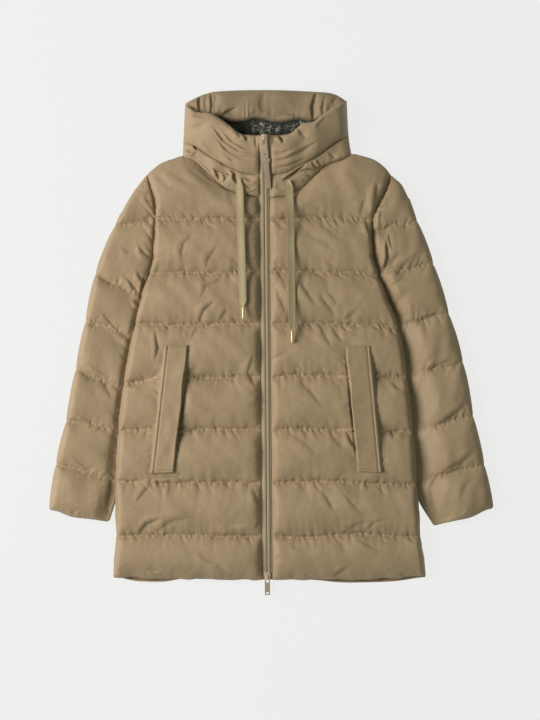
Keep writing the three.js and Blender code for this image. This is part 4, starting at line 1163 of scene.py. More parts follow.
# %% Sleeve points
def sleeve_grid(side, steps, cols):
    """Points of a sleeve: each row is a straight line from its outer end, read from the table,
    to its inner end on the body's side or, below the last sewn line, on the cuff's inner edge;
    the cuff's own edge bulges as a sine."""
    table, cuff = SLEEVE_TABLE[side], CUFF_INNER[side]
    r = np.arange(SLEEVE_ROWS * steps + 1)[:, None] / steps
    outer_x, outer_y = (read(table, r, k) for k in (1, 2))
    level = body_rows(np.minimum(r, CUFF_ROW) / 4)[2]
    inner_x = np.where(r <= CUFF_ROW, read(SIDE, level, COLUMN[side]), read(cuff, r))
    inner_y = np.where(r <= CUFF_ROW, level, read(cuff, r, 2))
    inner_x = inner_x + OUT[side] * (GAP - TUCK * (1 - smooth(CUFF_ROW, SLEEVE_ROWS, r)))
    seams = np.array([0, *table[table[:, 3] == 1, 0], SLEEVE_ROWS], float)
    k = np.clip(np.searchsorted(seams, r, side="right") - 1, 0, len(seams) - 2)
    f = (r - seams[k]) / (seams[k + 1] - seams[k])
    outer_x = outer_x + OUT[side] * OUTER_BULGE * (channel(f) - 0.4) * (r > 3)
    u = np.linspace(0, 1, cols)[None, :]
    if side == "right":
        u = 1 - u
    past_body = np.clip((r - CUFF_ROW) / (SLEEVE_ROWS - CUFF_ROW), 0, 1)
    bulge = CUFF_BULGE * np.sin(np.pi * u) * past_body
    wide = np.hypot(inner_x - outer_x, inner_y - outer_y)
    stray = 1.6 * ripple(u * 100, r * 12, 60, 300 if side == "left" else 400)
    stray = stray * np.sin(np.pi * u) * np.minimum(1, np.minimum(r, SLEEVE_ROWS - r) / 2)
    # The cuff's hem is wavy and its two corners are rounded.
    corner = 1 - edge_roll(np.minimum(u, 1 - u) * wide, 7)
    stray = stray + past_body**4 * (3 * corner + 1.5 * uneven(u * 100, 38, 77))
    return {"x": outer_x + (inner_x - outer_x) * u,
            "y": outer_y + (inner_y - outer_y) * u - bulge + stray,
            "f": f + 0 * u, "block": k + 0 * u,
            "pitch": (seams[k + 1] - seams[k]) * SLEEVE_ROW + 0 * u, "r": r + 0 * u,
            "u": u + 0 * r,
            "to_outer": u * wide, "to_inner": (1 - u) * wide, "seams": seams}


# %% Sleeve panels
SLEEVE_FILL = 15.0
OUTER_ROLL = {"left": 5, "right": 17}
SLEEVE_SEED = {"left": 500, "right": 600}
INNER_RISE = 1.0                    # the inner edge, pressed down under the body
# Width of the hollow beside the body, by row, and how far the body presses the sleeve down.
HOLLOW = {
    "left": np.array([(0, 3), (7, 3.6), (10, 6), (14, 9), (20, 15), (24, 24), (28, 34)]),
    "right": np.array([(0, 6), (4, 8), (8, 20), (12, 36), (16, 48), (24, 64), (28, 66)]),
}
SINK = {"left": 3.5, "right": 9.0}
SINK_ROWS = {"left": 14, "right": 8}            # the rows over which that sets in
LEAST = {"left": 0.45, "right": 0.16}           # share of its height at the inner edge
# The share of a sleeve's height that it gains slowly towards its outer fold, and that its
# outer side lacks.
SLEEVE_TILT = {"left": (0.62, 0.0), "right": (0.1, 0.5)}


def hollow_width(side, r):
    """How wide the hollow beside the body is at a row."""
    return read(HOLLOW[side], r)


def kept_height(side, g):
    """The share of its height that a sleeve keeps beside the body: the least at its inner
    edge, and the whole of it at the hollow's far side."""
    wide = hollow_width(side, g["r"])
    return LEAST[side] + (1 - LEAST[side]) * smooth(0.1 * wide, 1.05 * wide, g["to_inner"])


def pressed_down(side, g):
    """How far the body's weight presses a sleeve down beside it: most at its inner edge."""
    reach = smooth(0, 0.8 * hollow_width(side, g["r"]), g["to_inner"])
    return SINK[side] * (1 - reach) * smooth(0, SINK_ROWS[side], g["r"])


# %% Sleeve gathers
def sleeve_gathers(side, g):
    """The gathers of a sleeve, in mm: puckers of two sizes beside its sewn lines, and others on
    its outer fold and on its inner edge, where the armhole and the body bunch it."""
    seed, along, lean = SLEEVE_SEED[side], g["u"] * SLEEVE_WIDE, 0.5 * OUT[side]
    total = 0 * g["x"]
    for block in range(len(g["seams"]) - 1):
        here = g["block"] == block
        drop, above = g["f"] * g["pitch"], (1 - g["f"]) * g["pitch"]
        part = (puckers(along, above, 10, 13, 2.1, -lean, seed + 10 * block)
                + puckers(along, above, 6, 4.5, 1.9, lean, seed + 10 * block + 2))
        if block > 0:
            part = part + puckers(along, drop, 11, 11, 1.9, lean, seed + 10 * block + 4)
            part = part + puckers(along, drop, 6, 4.5, 1.7, -lean, seed + 10 * block + 6)
        total = total + here * part
    total = total * smooth(0, 12, g["to_outer"]) * smooth(0, 12, g["to_inner"])
    total = total + puckers(-g["y"], g["to_outer"], 16, 12, 1.3, 0.4, seed + 91)
    total = total + puckers(-g["y"], g["to_inner"], 13, 20, 3.0, -0.7, seed + 92)
    total = total + 0.5 * ripple(g["x"], 0.4 * g["y"], 30, seed + 93) * channel(g["f"]) ** 2
    return total


# %% Sleeve heights
def sleeve_panel(side):
    """A sleeve's grid with its heights: its channels rise as sin(pi*f)^0.48 and are rounded off
    in a quarter circle at the outer edge. On the inner one they sink in a wide S-shaped hollow,
    because the body lies over that edge and presses it down."""
    g = sleeve_grid(side, SLEEVE_STEPS, SLEEVE_COLS)
    seed, x, y, r = SLEEVE_SEED[side], g["x"], g["y"], g["r"]
    g["base"] = BACK_THICK + GAP - pressed_down(side, g)
    tilt, droop = SLEEVE_TILT[side]
    wide = hollow_width(side, r)
    inner = ((1 - tilt) * smooth(0.12 * wide, wide, g["to_inner"])
             + tilt * smooth(0, SLEEVE_WIDE, g["to_inner"]))
    outer = edge_roll(g["to_outer"], OUTER_ROLL[side])
    outer = outer * (1 - droop * (1 - smooth(-20, 100, g["to_outer"])))
    edges = outer * inner
    rise = channel(g["f"]) ** 0.92 * edges * (1 + 0.08 * ripple(x, y, 60, seed))
    rim_rise = RIM_RISE + (SEAM_THICK - RIM_RISE) * edge_roll(g["to_outer"], 9)
    rim_rise = np.where(r == SLEEVE_ROWS, RIM_RISE, rim_rise)
    rim_rise = INNER_RISE + (rim_rise - INNER_RISE) * smooth(0, 0.6 * wide, g["to_inner"])
    level = g["base"] + rim_rise
    cut = level + SLEEVE_FILL * rise
    start = level + START_SHARE * SLEEVE_FILL * rise
    on_seam = np.isin(r, g["seams"])
    on_seam[:, 0] = on_seam[:, -1] = True
    held = level + 0.6 * ripple(x, y, 22, seed + 94) * edges
    start = np.where(on_seam, held, start)
    g.update(z=start, cut_z=np.where(on_seam, start, cut), sewn=on_seam)
    return g


sleeves = {side: sleeve_panel(side) for side in SIDES}
blown = inflate([*fronts.values(), *sleeves.values()])


# %% Finished fronts and sleeves
def lower_cloth(x, y, base, rim_z, turn=2):
    """The cloth on a panel's lower side: flat on what it lies on, and turned up at its border
    over the last `turn` rows and columns, as the square of their share, to meet the upper cloth
    at height rim_z."""
    lift = np.clip(1 - steps_in(*x.shape) / turn, 0, 1) ** 2
    return np.stack([x, y, base + (rim_z - base) * lift], -1)


def shell_piece(obj, node_name, cloth=shell):
    """Dresses a padded piece in shell cloth, hides the CAD part it stands for, and prints its
    triangles.
    """
    dress(obj, cloth, node_name)
    count(obj)


CREASE_SHARE = 0.85                 # of a crease's depth, as the padding fills it
LEAST_CLOTH = 0.9                   # the upper cloth's least height over what it lies on


def finished(name, node_name, g, points, creases, gathers, laid=(), keep=1):
    """A padded panel, closed underneath, and its upper cloth's points. Three passes of a 1-2-1
    mean along the rows take out the finest flutes of the simulation. The cloth is then made
    finer, keeps the share `keep` of its height, and gets its creases, its gathers and the marks
    of the cords laid on it, all but at its border."""
    for _ in range(3):
        points[:, 1:-1, 2] = (points[:, :-2, 2] + 2 * points[:, 1:-1, 2] + points[:, 2:, 2]) / 4
    fine = finer(points)
    inner = smooth(0, 5, steps_in(*fine.shape[:2]))
    base = finer(g["base"][..., None])[..., 0]
    fine[..., 2] += inner * (keep - 1) * (fine[..., 2] - base)
    pressed = folds(fine[..., 0], fine[..., 1], creases, CREASE_SHARE)
    fine[..., 2] += inner * (pressed + gathers)
    for line in laid:
        fine = press(fine, line, CORD_WIDE / 2, CORD_THICK / 2 + 0.1)
    fine[..., 2] = np.maximum(fine[..., 2], base + LEAST_CLOTH)
    low = lower_cloth(g["x"], g["y"], g["base"], points[..., 2] - 0.5)
    shell_piece(closed_panel(name, fine, low), node_name)
    return fine


# %% Fronts and sleeves
surfaces = {}
for k, side in enumerate(SIDES):
    g = body_grid(side, 2 * FRONT_STEPS, 2 * FRONT_COLS - 1)
    surfaces["front", side] = finished(
        f"front_{side}_quilted", f"front_{side}", fronts[side], blown[k], FRONT_FOLDS[side],
        front_gathers(side, g), [cords[side][1], tip_lines[side]])
    g = sleeve_grid(side, 2 * SLEEVE_STEPS, 2 * SLEEVE_COLS - 1)
    surfaces["sleeve", side] = finished(
        f"sleeve_{side}_front_quilted", f"sleeve_{side}_front", sleeves[side], blown[k + 2],
        SLEEVE_FOLDS[side], sleeve_gathers(side, g), keep=kept_height(side, g))

# %% [markdown]
# ## Backs
# The back, the sleeves' backs and the hood's back lie on the table under everything else, so
# only their rounded rims and their underside are ever seen. They are flat where they rest, and
# the quilting shows there as shallow grooves. A simulation would add nothing that can be seen.

# %% Pads that lie flat
GROOVE, GROOVE_WIDE = 3.2, 5.0
PAD_ROLL = 11


def crowded(n, share=0.75):
    """n places from 0 to 1 that crowd towards both ends: an even spacing mixed with half a
    cosine wave, so that a border has points enough to be round."""
    t = np.linspace(0, 1, n)
    return (1 - share) * t + share * (0.5 - 0.5 * np.cos(np.pi * t))


def groove(distance):
    """The depth of a sewn groove at a distance from its line."""
    return GROOVE * np.exp(-((distance / GROOVE_WIDE) ** 2))


def flat_pad(name, node_name, x, y, top, lift):
    """A pad that lies flat: level above and below, and rounded at its border like half an
    ellipse over PAD_ROLL mm; `lift` raises its underside at grooves and gathers."""
    gap = np.minimum(
        np.minimum(np.hypot(x - x[:1], y - y[:1]), np.hypot(x - x[-1:], y - y[-1:])),
        np.minimum(np.hypot(x - x[:, :1], y - y[:, :1]), np.hypot(x - x[:, -1:], y - y[:, -1:])))
    round_off = edge_roll(gap, PAD_ROLL)
    middle = 0.62 * top
    upper = middle + 0.3 + (top - middle - 0.3) * round_off
    under = middle - 0.3 - (middle - 0.3 - lift) * round_off
    obj = closed_panel(name, np.stack([x, y, upper], -1), np.stack([x, y, under], -1))
    shell_piece(obj, node_name)


def back_neck(x):
    """The seam across the back of the neck, from one shoulder point to the other."""
    return 327.5 + 3.5 * (x + 155) / 296


# %% Back panel
BACK_STEPS, BACK_COLS = 12, 75


def back_grid():
    """Points of the back: rows as on a front, but crowding towards the hem, and columns from
    one side seam to the other. It also gives how far the back drops away from the front's hem,
    where its own hem peeks out below, beside the pockets."""
    above = np.arange(QUILT_LINES * BACK_STEPS) / BACK_STEPS
    last = QUILT_LINES + 1 - (1 - np.linspace(0, 1, 19)) ** 2
    r = np.concatenate([above, last])[:, None]
    level = body_rows(r)[2]
    a = 2 * crowded(BACK_COLS, 0.35)[None, :] - 1
    left, middle, right = read(SIDE, level), zip_line(level), read(SIDE, level, 2)
    x = middle + np.where(a < 0, middle - left, right - middle) * a
    across = np.abs(a) + 0 * x
    shoulder = np.where(a < 0, read(TOP_EDGE, across), read(TOP_EDGE, across, 2))
    top = np.where(across < NECK_END, back_neck(x[:1]), shoulder[:1])
    f = np.clip(r, 0, 1)
    y = np.where(r < 1, top * (1 - f) + FIRST_QUILT_Y * f, level + 0 * x)
    peek = 7.0 * (np.exp(-(((x + 215) / 45) ** 4)) + np.exp(-(((x - 170) / 80) ** 4)))
    hem = hem_line(x) - peek
    f = np.clip(r - QUILT_LINES, 0, 1)
    y = np.where(r > QUILT_LINES, LAST_QUILT_Y * (1 - f) + hem * f, y)
    over_hem = y - hem
    return x, y, peek * smooth(1.2, 3.0, over_hem) * (1 - smooth(10, 22, over_hem))


x, y, gape = back_grid()
rows_down = (FIRST_QUILT_Y - y) / QUILT_PITCH
line_gap = np.abs(rows_down - np.round(rows_down)) * QUILT_PITCH
grooves = groove(line_gap) * (y < 250) + 0.5 * np.abs(pleats(x, line_gap, 16, 10, 0.2, 700))
flat_pad("back_panel_quilted", "back_panel", x, y, layer_level(y) - gape, grooves)

# %% Sleeve backs
for side in SIDES:
    g = sleeve_grid(side, 2, 27)
    nearest = np.min(np.abs(g["r"][..., None] - g["seams"][1:-1]), -1) * SLEEVE_ROW
    grooves = groove(nearest) + 0.5 * np.abs(
        pleats(g["u"] * SLEEVE_WIDE, nearest, 16, 10, 0.2, 710))
    flat_pad(f"sleeve_{side}_back_quilted", f"sleeve_{side}_back", g["x"], g["y"],
             BACK_THICK - pressed_down(side, g), grooves)

# %% [markdown]
# ## Hood
# The hood lies behind the open collar. From behind to the front there is its flat back, the
# inside of its brim (the facing, padded, with deep upright folds), the dark pile lining in the
# mouth, and the two rolls of the collar's front, which the zip joins. A padded band under each
# roll is sewn to the neckline. These parts fold more than they puff, so each is a surface
# shaped by its outline, its roundness and its creases, and no cloth is simulated.

# %% Hood outlines
HOOD_TOP = np.array([
    (0, 421), (0.09, 434), (0.18, 441), (0.5, 444), (0.8, 441), (0.92, 437), (1, 424)])
HOOD_SIDE = np.array([(327, -155.4, 141.5), (360, -154, 136), (424, -151, 132.5)])
FACE_BASE = BACK_THICK + GAP        # where the facing and the lining lie on the hood's back


def hood_edge(side, y):
    """The hood's side fold at a place up the body."""
    return read(HOOD_SIDE, y, COLUMN[side])


def hood_x(across, y):
    """A place across the hood, from its left fold to its right one."""
    return hood_edge("left", y) * (1 - across) + hood_edge("right", y) * across


def neck_place(side, across, v, low, high):
    """A point of the collar: v runs from its lower edge to its upper one, both read from the
    tables, and `across` from the zip to the hood's fold."""
    y = read(low, across) * (1 - v) + read(high, across) * v
    zip_x = zip_line(y) + OUT[side] * (TAPE_WIDTH + 2 * GAP)
    return zip_x + (hood_edge(side, y) - zip_x) * across / NECK_END, y


def dome(across):
    """1 at the zip and 0 at the hood's side fold, like a blunt ellipse."""
    return np.sqrt(np.maximum(0, 1 - (across / NECK_END) ** 2.4))


SIDE_SEAM_Z, SIDE_MOUTH_Z = 22, 28


def seam_level(across):
    """The height of the seam between the roll and the band below it."""
    return SIDE_SEAM_Z + (zip_level(294.0) - SIDE_SEAM_Z) * dome(across)


# %% Hood back
rows, cols = crowded(31)[:, None], crowded(61)[None, :]
foot = back_neck(hood_x(cols, 327.0)) + 2 * GAP
top = read(HOOD_TOP, cols)
y = top * (1 - rows) + foot * rows
x = hood_x(cols, y)
flat_pad("hood_back_padded", "hood_back", x, y, BACK_THICK + 0 * x, groove(y - 384))

# %% Facing inside the brim
# The facing's lower edge is wavy: places across and heights along it.
FACING_FOOT = np.array([
    (-150, 392), (-110, 396), (-86, 395), (-72, 387.5), (-56, 387.2), (-44, 389),
    (-26, 393.5), (-12, 392), (3, 387.6), (22, 387.2), (49, 391), (71, 389), (100, 392),
    (132, 394)])
FACING_FOLDS = [
    ([(-107, 452), (-103.5, 417), (-106.5, 392)], 4.2, 5.6, 0.0),
    ([(-99, 444), (-98, 425), (-101, 400)], 2.8, 3.0, 0.0),
    ([(-124, 446), (-127, 420), (-124, 396)], 4.2, 5.2, 0.0),
    ([(-114, 440), (-116, 420), (-113, 402)], 3.0, 2.0, 0.0),
    ([(-88, 395), (-77, 404), (-60, 411)], 4.0, 6.0, 0.0),
    ([(80, 442), (72, 413), (74, 386)], 5.6, 6.0, 0.0),
    ([(94, 434), (89, 408), (93, 392)], 3.0, 2.4, 0.1),
    ([(104, 422), (101, 408), (106, 398)], 4.0, 1.6, 0.1),
    ([(-13, 440), (-17, 418), (-13, 396)], 9, 2.0, 0.1),
    ([(12, 396), (28, 402), (45, 399), (58, 396)], 6.0, 3.2, 0.0),
    ([(-40, 395), (-28, 402), (-12, 398)], 7.0, 2.0, 0.0),
    ([(-146, 419), (-137, 412), (-130, 402)], 3.0, 4.0, 0.2),
    ([(118, 432), (110, 424), (106, 414)], 6.0, 2.2, 0.1),
]
FACING_FILL = 12.5
HOOD_WIDE = 284

# %% Facing
v, u = crowded(57, 0.6)[:, None], np.linspace(0.012, 0.988, 161)[None, :]
top = read(HOOD_TOP, u) - 2 * GAP
foot = read(FACING_FOOT, hood_x(u, 392.0))
y = top * (1 - v) + foot * v
x = hood_x(u, y)
from_top, from_foot = (top - y), (y - foot)
from_side = np.minimum(u, 1 - u) * HOOD_WIDE
lip = edge_roll(from_foot, 8)
height = 3 + 3 * lip + FACING_FILL * edge_roll(from_top, 15) * (0.35 + 0.65 * lip)
height = height * edge_roll(from_side + 3, 16) * (1 + 0.05 * ripple(x, y, 60, 801))
height = height + 0.5 * pleats(x, from_foot, 13, 8, 0.0, 802)
height = height - 5 * smooth(-98, -116, x) * (from_foot > 0)     # sunk at its left end
creases = folds(x, y, FACING_FOLDS, 1.2) * smooth(0, 7, from_top) * smooth(-2, 5, from_foot)
z = FACE_BASE + np.maximum(height + creases, 2.2)
low = lower_cloth(x[::2, ::2], y[::2, ::2], FACE_BASE, z[::2, ::2] - 0.8)
shell_piece(closed_panel("hood_facing_padded", np.stack([x, y, z], -1), low),
            "hood_inner_facing", shell_painted_shade)

# %% Roll creases
ROLL_BULGE = 8.0
LAP = 1.4                           # how far a part of the collar laps over the one below it
# Beside the zip: a flat strip's width, and the run of the rounding that follows it.
COLLAR_ZIP_ROLL = {"left": (0, 12), "right": (4, 8)}
ROLL_SEED = {"left": 820, "right": 840}
ROLL_FOLDS = {
    "left": [
        ([(-102, 376), (-84, 352), (-58, 334), (-25, 327)], 3.2, 3.0, 0.4),
        ([(-86, 368), (-69, 350), (-48, 338), (-26, 334)], 2.8, 2.6, 0.4),
        ([(-100, 361), (-79, 336), (-55, 322), (-26, 312)], 3.4, 2.8, 0.4),
        ([(-90, 333), (-69, 319), (-44, 311), (-28, 306)], 3.0, 2.2, 0.3),
        ([(-120, 350), (-100, 330), (-80, 316)], 5.0, 1.4, 0.3),
        ([(-54, 366), (-46, 358), (-42, 349)], 2.6, 5.0, 0.2),
        ([(-28, 362), (-27, 350), (-26, 336)], 3.0, 1.6, 0.2),
        ([(-66, 376), (-58, 366), (-52, 354)], 5.0, 2.2, 0.3),
        ([(-146, 400), (-128, 396), (-112, 392)], 7.0, 2.0, 0.4),
        ([(-150, 372), (-130, 372), (-110, 380)], 12., 1.2, 0.3),
        ([(-157, 337), (-146, 340), (-131, 342.5)], 2.2, 3.0, 0.2),
    ],
    "right": [
        ([(0, 315), (26, 320), (50, 332), (80, 350)], 3.2, 2.8, 0.4),
        ([(2, 304), (30, 308), (60, 322)], 3.0, 2.2, 0.3),
        ([(0, 331), (19, 329), (40, 337)], 3.4, 2.2, 0.3),
        ([(10, 362), (17, 354), (20, 346)], 2.8, 5.0, 0.2),
        ([(1, 360), (2, 350), (1, 338)], 2.6, 1.8, 0.2),
        ([(124, 357), (129, 354), (134, 351)], 3.0, 3.0, 0.3),
        ([(106, 420), (114, 412), (128, 402)], 8.0, 1.6, 0.3),
        ([(46, 374), (52, 364), (60, 356)], 5.0, 1.8, 0.3),
        ([(96, 392), (84, 380), (78, 370)], 6.0, 1.4, 0.3),
    ],
}


# %% Collar rolls
def collar_part(name, node_name, side, low, high, level, thick, creases, seed, gathers):
    """A padded part of the collar between two table edges. `level` gives its height from the
    place across and v. Its upper edge drops 7 mm and its lower one 3 mm in quarters of a
    circle; it comes down to the tape beside the zip and to the hood's back at the side fold."""
    a = np.linspace(0, NECK_END, 97)[None, :]
    v = crowded(49, 0.6)[::-1][:, None]
    if side == "left":
        a = a[:, ::-1]
    x, y = neck_place(side, a, v, low, high)
    tall = np.abs(read(high, a) - read(low, a))
    z, from_low, from_high = level(a, v), v * tall, (1 - v) * tall
    from_zip = np.abs(x - zip_line(y)) - TAPE_WIDTH
    from_fold = np.abs(hood_edge(side, y) - x)
    z = z + 0.8 * ripple(x, y, 55, seed) + gathers * (
        puckers(x, from_low, 9, 7, 1.8, 0.3 * OUT[side], seed + 1)
        + puckers(x, from_high, 12, 7, 1.6, 0.2, seed + 3)
        + puckers(y, from_zip, 9, 9, 1.4, 0.4, seed + 2))
    z = z + folds(x, y, creases, 1.6) * smooth(0, 4, from_zip)
    z = z - 7 * (1 - edge_roll(from_high, 9)) - 3 * (1 - edge_roll(from_low, 7))
    tape_z, (flat, run) = zip_level(y) - 1.0, COLLAR_ZIP_ROLL[side]
    z = tape_z + (z - tape_z) * (0.1 + 0.9 * edge_roll(from_zip - flat, run))
    side_z = BACK_THICK + 1.0
    z = side_z + (z - side_z) * edge_roll(from_fold, 17)
    nearest = np.minimum(np.minimum(from_low, from_high), np.minimum(from_zip, from_fold))
    under = np.maximum(z - 0.8 - thick * edge_roll(nearest, 10), side_z - 0.4)
    upper, lower = np.stack([x, y, z], -1), np.stack([x, y, np.minimum(under, z - 0.5)], -1)
    shell_piece(closed_panel(name, upper, lower[::2, ::2]), node_name)


def roll_level(a, v):
    """The roll's height: a line from the seam's level to the mouth's, and a bulge."""
    mouth = SIDE_MOUTH_Z + (zip_level(ZIP_TOP_Y) - 2 - SIDE_MOUTH_Z) * dome(a)
    bulge = (ROLL_BULGE + 2 * dome(a)) * channel(np.clip(v, 0, 1) * 0.9 + 0.02)
    return seam_level(a) * (1 - v) + mouth * v + bulge


for side in SIDES:
    column = COLUMN[side]
    collar_part(f"hood_front_{side}_padded", f"hood_front_{side}", side,
                NECK[:, [0, column]] - [0, LAP], NECK[:, [0, column + 2]] + [0, 2 * GAP],
                roll_level, 9.0, ROLL_FOLDS[side], ROLL_SEED[side], 0.6)

# %% Bands under the rolls
BAND_LEVEL = BACK_THICK + 3 * GAP + SEAM_THICK
BAND_FOLDS = {
    "left": [
        ([(-101, 305), (-97, 300), (-91, 286)], 2.6, 3.2, 0.6),
        ([(-97, 300), (-80, 297.5), (-72, 293)], 2.4, 3.4, 0.5),
        ([(-72, 301), (-65, 296), (-66, 288), (-60, 279)], 2.6, 4.0, 0.6),
        ([(-84, 296), (-80, 287), (-84, 280)], 2.4, 2.0, 0.5),
        ([(-128, 318), (-112, 306), (-104, 296)], 4.0, 2.2, 0.5),
        ([(-50, 290), (-38, 284), (-26, 284)], 3.4, 1.8, 0.6),
        ([(-48, 276), (-38, 270), (-28, 272)], 3.0, 1.6, 0.6),
        ([(-42, 262), (-32, 264), (-24, 262)], 2.6, 1.2, 0.6),
        ([(-150, 338), (-142, 334), (-134, 338)], 2.6, 3.0, 0.6),
        ([(-136, 345), (-133, 342), (-131, 338)], 2.6, 6.0, 0.2),
    ],
    "right": [
        ([(47, 296), (55, 301.5), (65, 303), (78, 303.5), (88, 309)], 2.4, 3.8, 0.7),
        ([(60, 311), (43, 299.5), (31, 291), (19, 283)], 2.6, 6.5, 0.3),
        ([(70, 316), (75, 310), (80, 305)], 2.6, 2.0, 0.5),
        ([(78, 322), (82, 315), (88, 309)], 2.6, 2.0, 0.5),
        ([(60, 296), (72, 292), (82, 298)], 3.2, 1.8, 0.5),
        ([(52, 286), (62, 284), (70, 288)], 3.2, 1.4, 0.4),
        ([(100, 334), (108, 326), (112, 322)], 5.0, 1.6, 0.4),
        ([(6, 274), (14, 270), (22, 271)], 3.0, 1.0, 0.4),
    ],
}
BAND_SEED = {"left": 860, "right": 880}


def band_level(a, v):
    """The band's height: from just over the front's neckline up to the roll's seam."""
    high = np.maximum(seam_level(a) - SEAM_THICK, BAND_LEVEL)
    return BAND_LEVEL * (1 - v) + high * v + SEAM_THICK + 2.5 * channel(v)


for side in SIDES:
    column = COLUMN[side]
    collar_part(f"under_collar_{side}_padded", f"under_collar_{side}", side,
                TOP_EDGE[:7, [0, column]] - [0, LAP], NECK[:, [0, column]] + [0, GAP],
                band_level, 4.5, BAND_FOLDS[side], BAND_SEED[side], 0.7)

# %% [markdown]
# ## Pile lining
# The hood's lining is a dark, curly pile. Blender's hair could grow it, but hair is not a mesh
# and the exported part would lose it. A few thousand small bent tufts, each of a few faces and
# all worked out as one array, give the same ragged, shadowy look.

# %% Pile
PILE_GROUND = 4.0                   # the woven ground's height
PILE_TOP_Y, PILE_FOOT_Y = 386.7, 334.0
PILE_LEFT, PILE_RIGHT = 0.12, 0.88  # places across the hood
TUFT_X, TUFT_Y = (-104, 92), (338, 392)
PILE_TUFTS = 5200
pile = material("pile", colour(40, 42, 31), 0.95, Sheen_Weight=0.4, Sheen_Roughness=0.6)
shade = node(pile, "ShaderNodeAttribute")
shade.attribute_name = "shade"
finish(pile, None, ramp(pile, shade, (0.0, colour(18, 22, 12)), (0.3, colour(44, 47, 31)),
                        (0.6, colour(158, 160, 126)), (1.0, colour(240, 238, 204))))

v = np.linspace(0, 1, 17)[:, None]
u = np.linspace(PILE_LEFT, PILE_RIGHT, 57)[None, :]
y = PILE_TOP_Y * (1 - v) + PILE_FOOT_Y * v + 0 * u
x = hood_x(u, y)
z = FACE_BASE + PILE_GROUND + 0.6 * ripple(x, y, 12, 901)
ground = closed_panel("pile_ground", np.stack([x, y, z], -1),
                      np.stack([x, y, FACE_BASE + 0 * x], -1))


def write_shade(obj, values):
    """Writes how pale each point of the pile is, from 0 to 1: on the tufts, painted highlight and
    shade.
    """
    shades = obj.data.attributes.new("shade", "FLOAT", "POINT")
    shades.data.foreach_set("value", values.astype(np.float32))


write_shade(ground, np.full(len(ground.data.vertices), 0.08))


# %% Tufts
def tufts(name, number, seed):
    """Bent tufts of pile: each is a three-sided spike of three rings and a tip, whose middle
    line leans over as the square of the height, towards a direction of its own."""
    rng = np.random.default_rng(seed)
    px, py = rng.uniform(*TUFT_X, number), rng.uniform(*TUFT_Y, number)
    heading = rng.uniform(0, 2 * np.pi, number)
    tall = rng.uniform(1.8, 5.2, number) * (1 + 0.3 * ripple(px, py, 16, seed + 1))
    below = read(FACING_FOOT, px) - py      # distance from the facing's lower edge
    tall = tall * (0.35 + 0.65 * smooth(0, 6, below))
    lean = rng.uniform(1.5, 6.0, number)
    thick = rng.uniform(0.45, 1.1, number)
    level = np.array([0, 0.4, 0.75, 1.0])
    radius = np.array([1, 0.8, 0.5, 0.06])
    side_angle = np.arange(3) * 2 * np.pi / 3
    curl = heading[:, None] + 0.9 * level[None, :] * rng.uniform(-1, 1, number)[:, None]
    mid_x = px[:, None] + np.cos(curl) * lean[:, None] * level**2
    mid_y = py[:, None] + np.sin(curl) * lean[:, None] * level**2
    mid_z = FACE_BASE + PILE_GROUND - 0.8 + tall[:, None] * level * (1.15 - 0.35 * level)
    ring = (thick[:, None] * radius)[:, :, None]
    points = np.stack([
        mid_x[:, :, None] + ring * np.cos(side_angle + heading[:, None, None]),
        mid_y[:, :, None] + ring * np.sin(side_angle + heading[:, None, None]),
        mid_z[:, :, None] + 0 * ring * side_angle], -1)
    first = np.arange(number)[:, None, None] * 12
    quads = (ring_quads(4, 3)[None] + first).reshape(-1, 4).tolist()
    tops = (np.array([9, 10, 11])[None] + first[:, 0]).tolist()
    feet = (np.array([2, 1, 0])[None] + first[:, 0]).tolist()
    obj = mesh_object(name, points.reshape(-1, 3), quads + tops + feet)
    # Clumps of tufts are paler at random, and a painted highlight makes them paler still
    # mid-mouth.
    lit = np.exp(-(((px + 16) / 28) ** 2)) + 0.8 * np.exp(-(((px - 45) / 14) ** 2))
    # Painted shadow: the tufts are darker under the facing's lower edge and towards the rolls.
    clear = smooth(1.5, 6.5, below)
    lit = lit * (0.3 + 0.7 * smooth(360, 372, py)) * clear
    clumps = np.maximum(ripple(px, py, 11, seed + 2) + 0.5 * ripple(px, py, 6, seed + 3), 0)
    pale = 0.03 + (0.2 + 0.7 * clumps) * (0.12 + lit)
    pale = pale + rng.normal(0, 0.2, number) * clear
    pale = np.clip(pale, 0, 1.1)[:, None] * (0.3 + 0.7 * level)
    write_shade(obj, np.repeat(pale.reshape(-1), 3))
    return obj


curls = tufts("pile_tufts", PILE_TUFTS, 902)
dress(ground, pile, "hood_pile_lining")
dress(curls, pile)
count(ground)
count(curls)

# %% [markdown]
# ## Pocket welts
# Each slanting pocket is a flat, folded strip sewn down along its outer edge and across its
# ends; its inner edge is left open for the hand. Two rows of stitching run down the outer edge,
# so the strip there is pressed into two furrows.

# %% Welts
WELT_THICK, WELT_WIDE, WELT_LONG = 4.2, 43.0, 224.0
WELT_DOWN, WELT_ACROSS = crowded(121, 0.5), crowded(29, 0.8)
FURROW = 2.0
OUTER_FURROWS, END_FURROW = (1.4, 7.0), 4.0           # distances from the edges
WELT_LIFT = {"left": (2.4, 7), "right": (4.0, 15)}    # of the open edge, and over how far


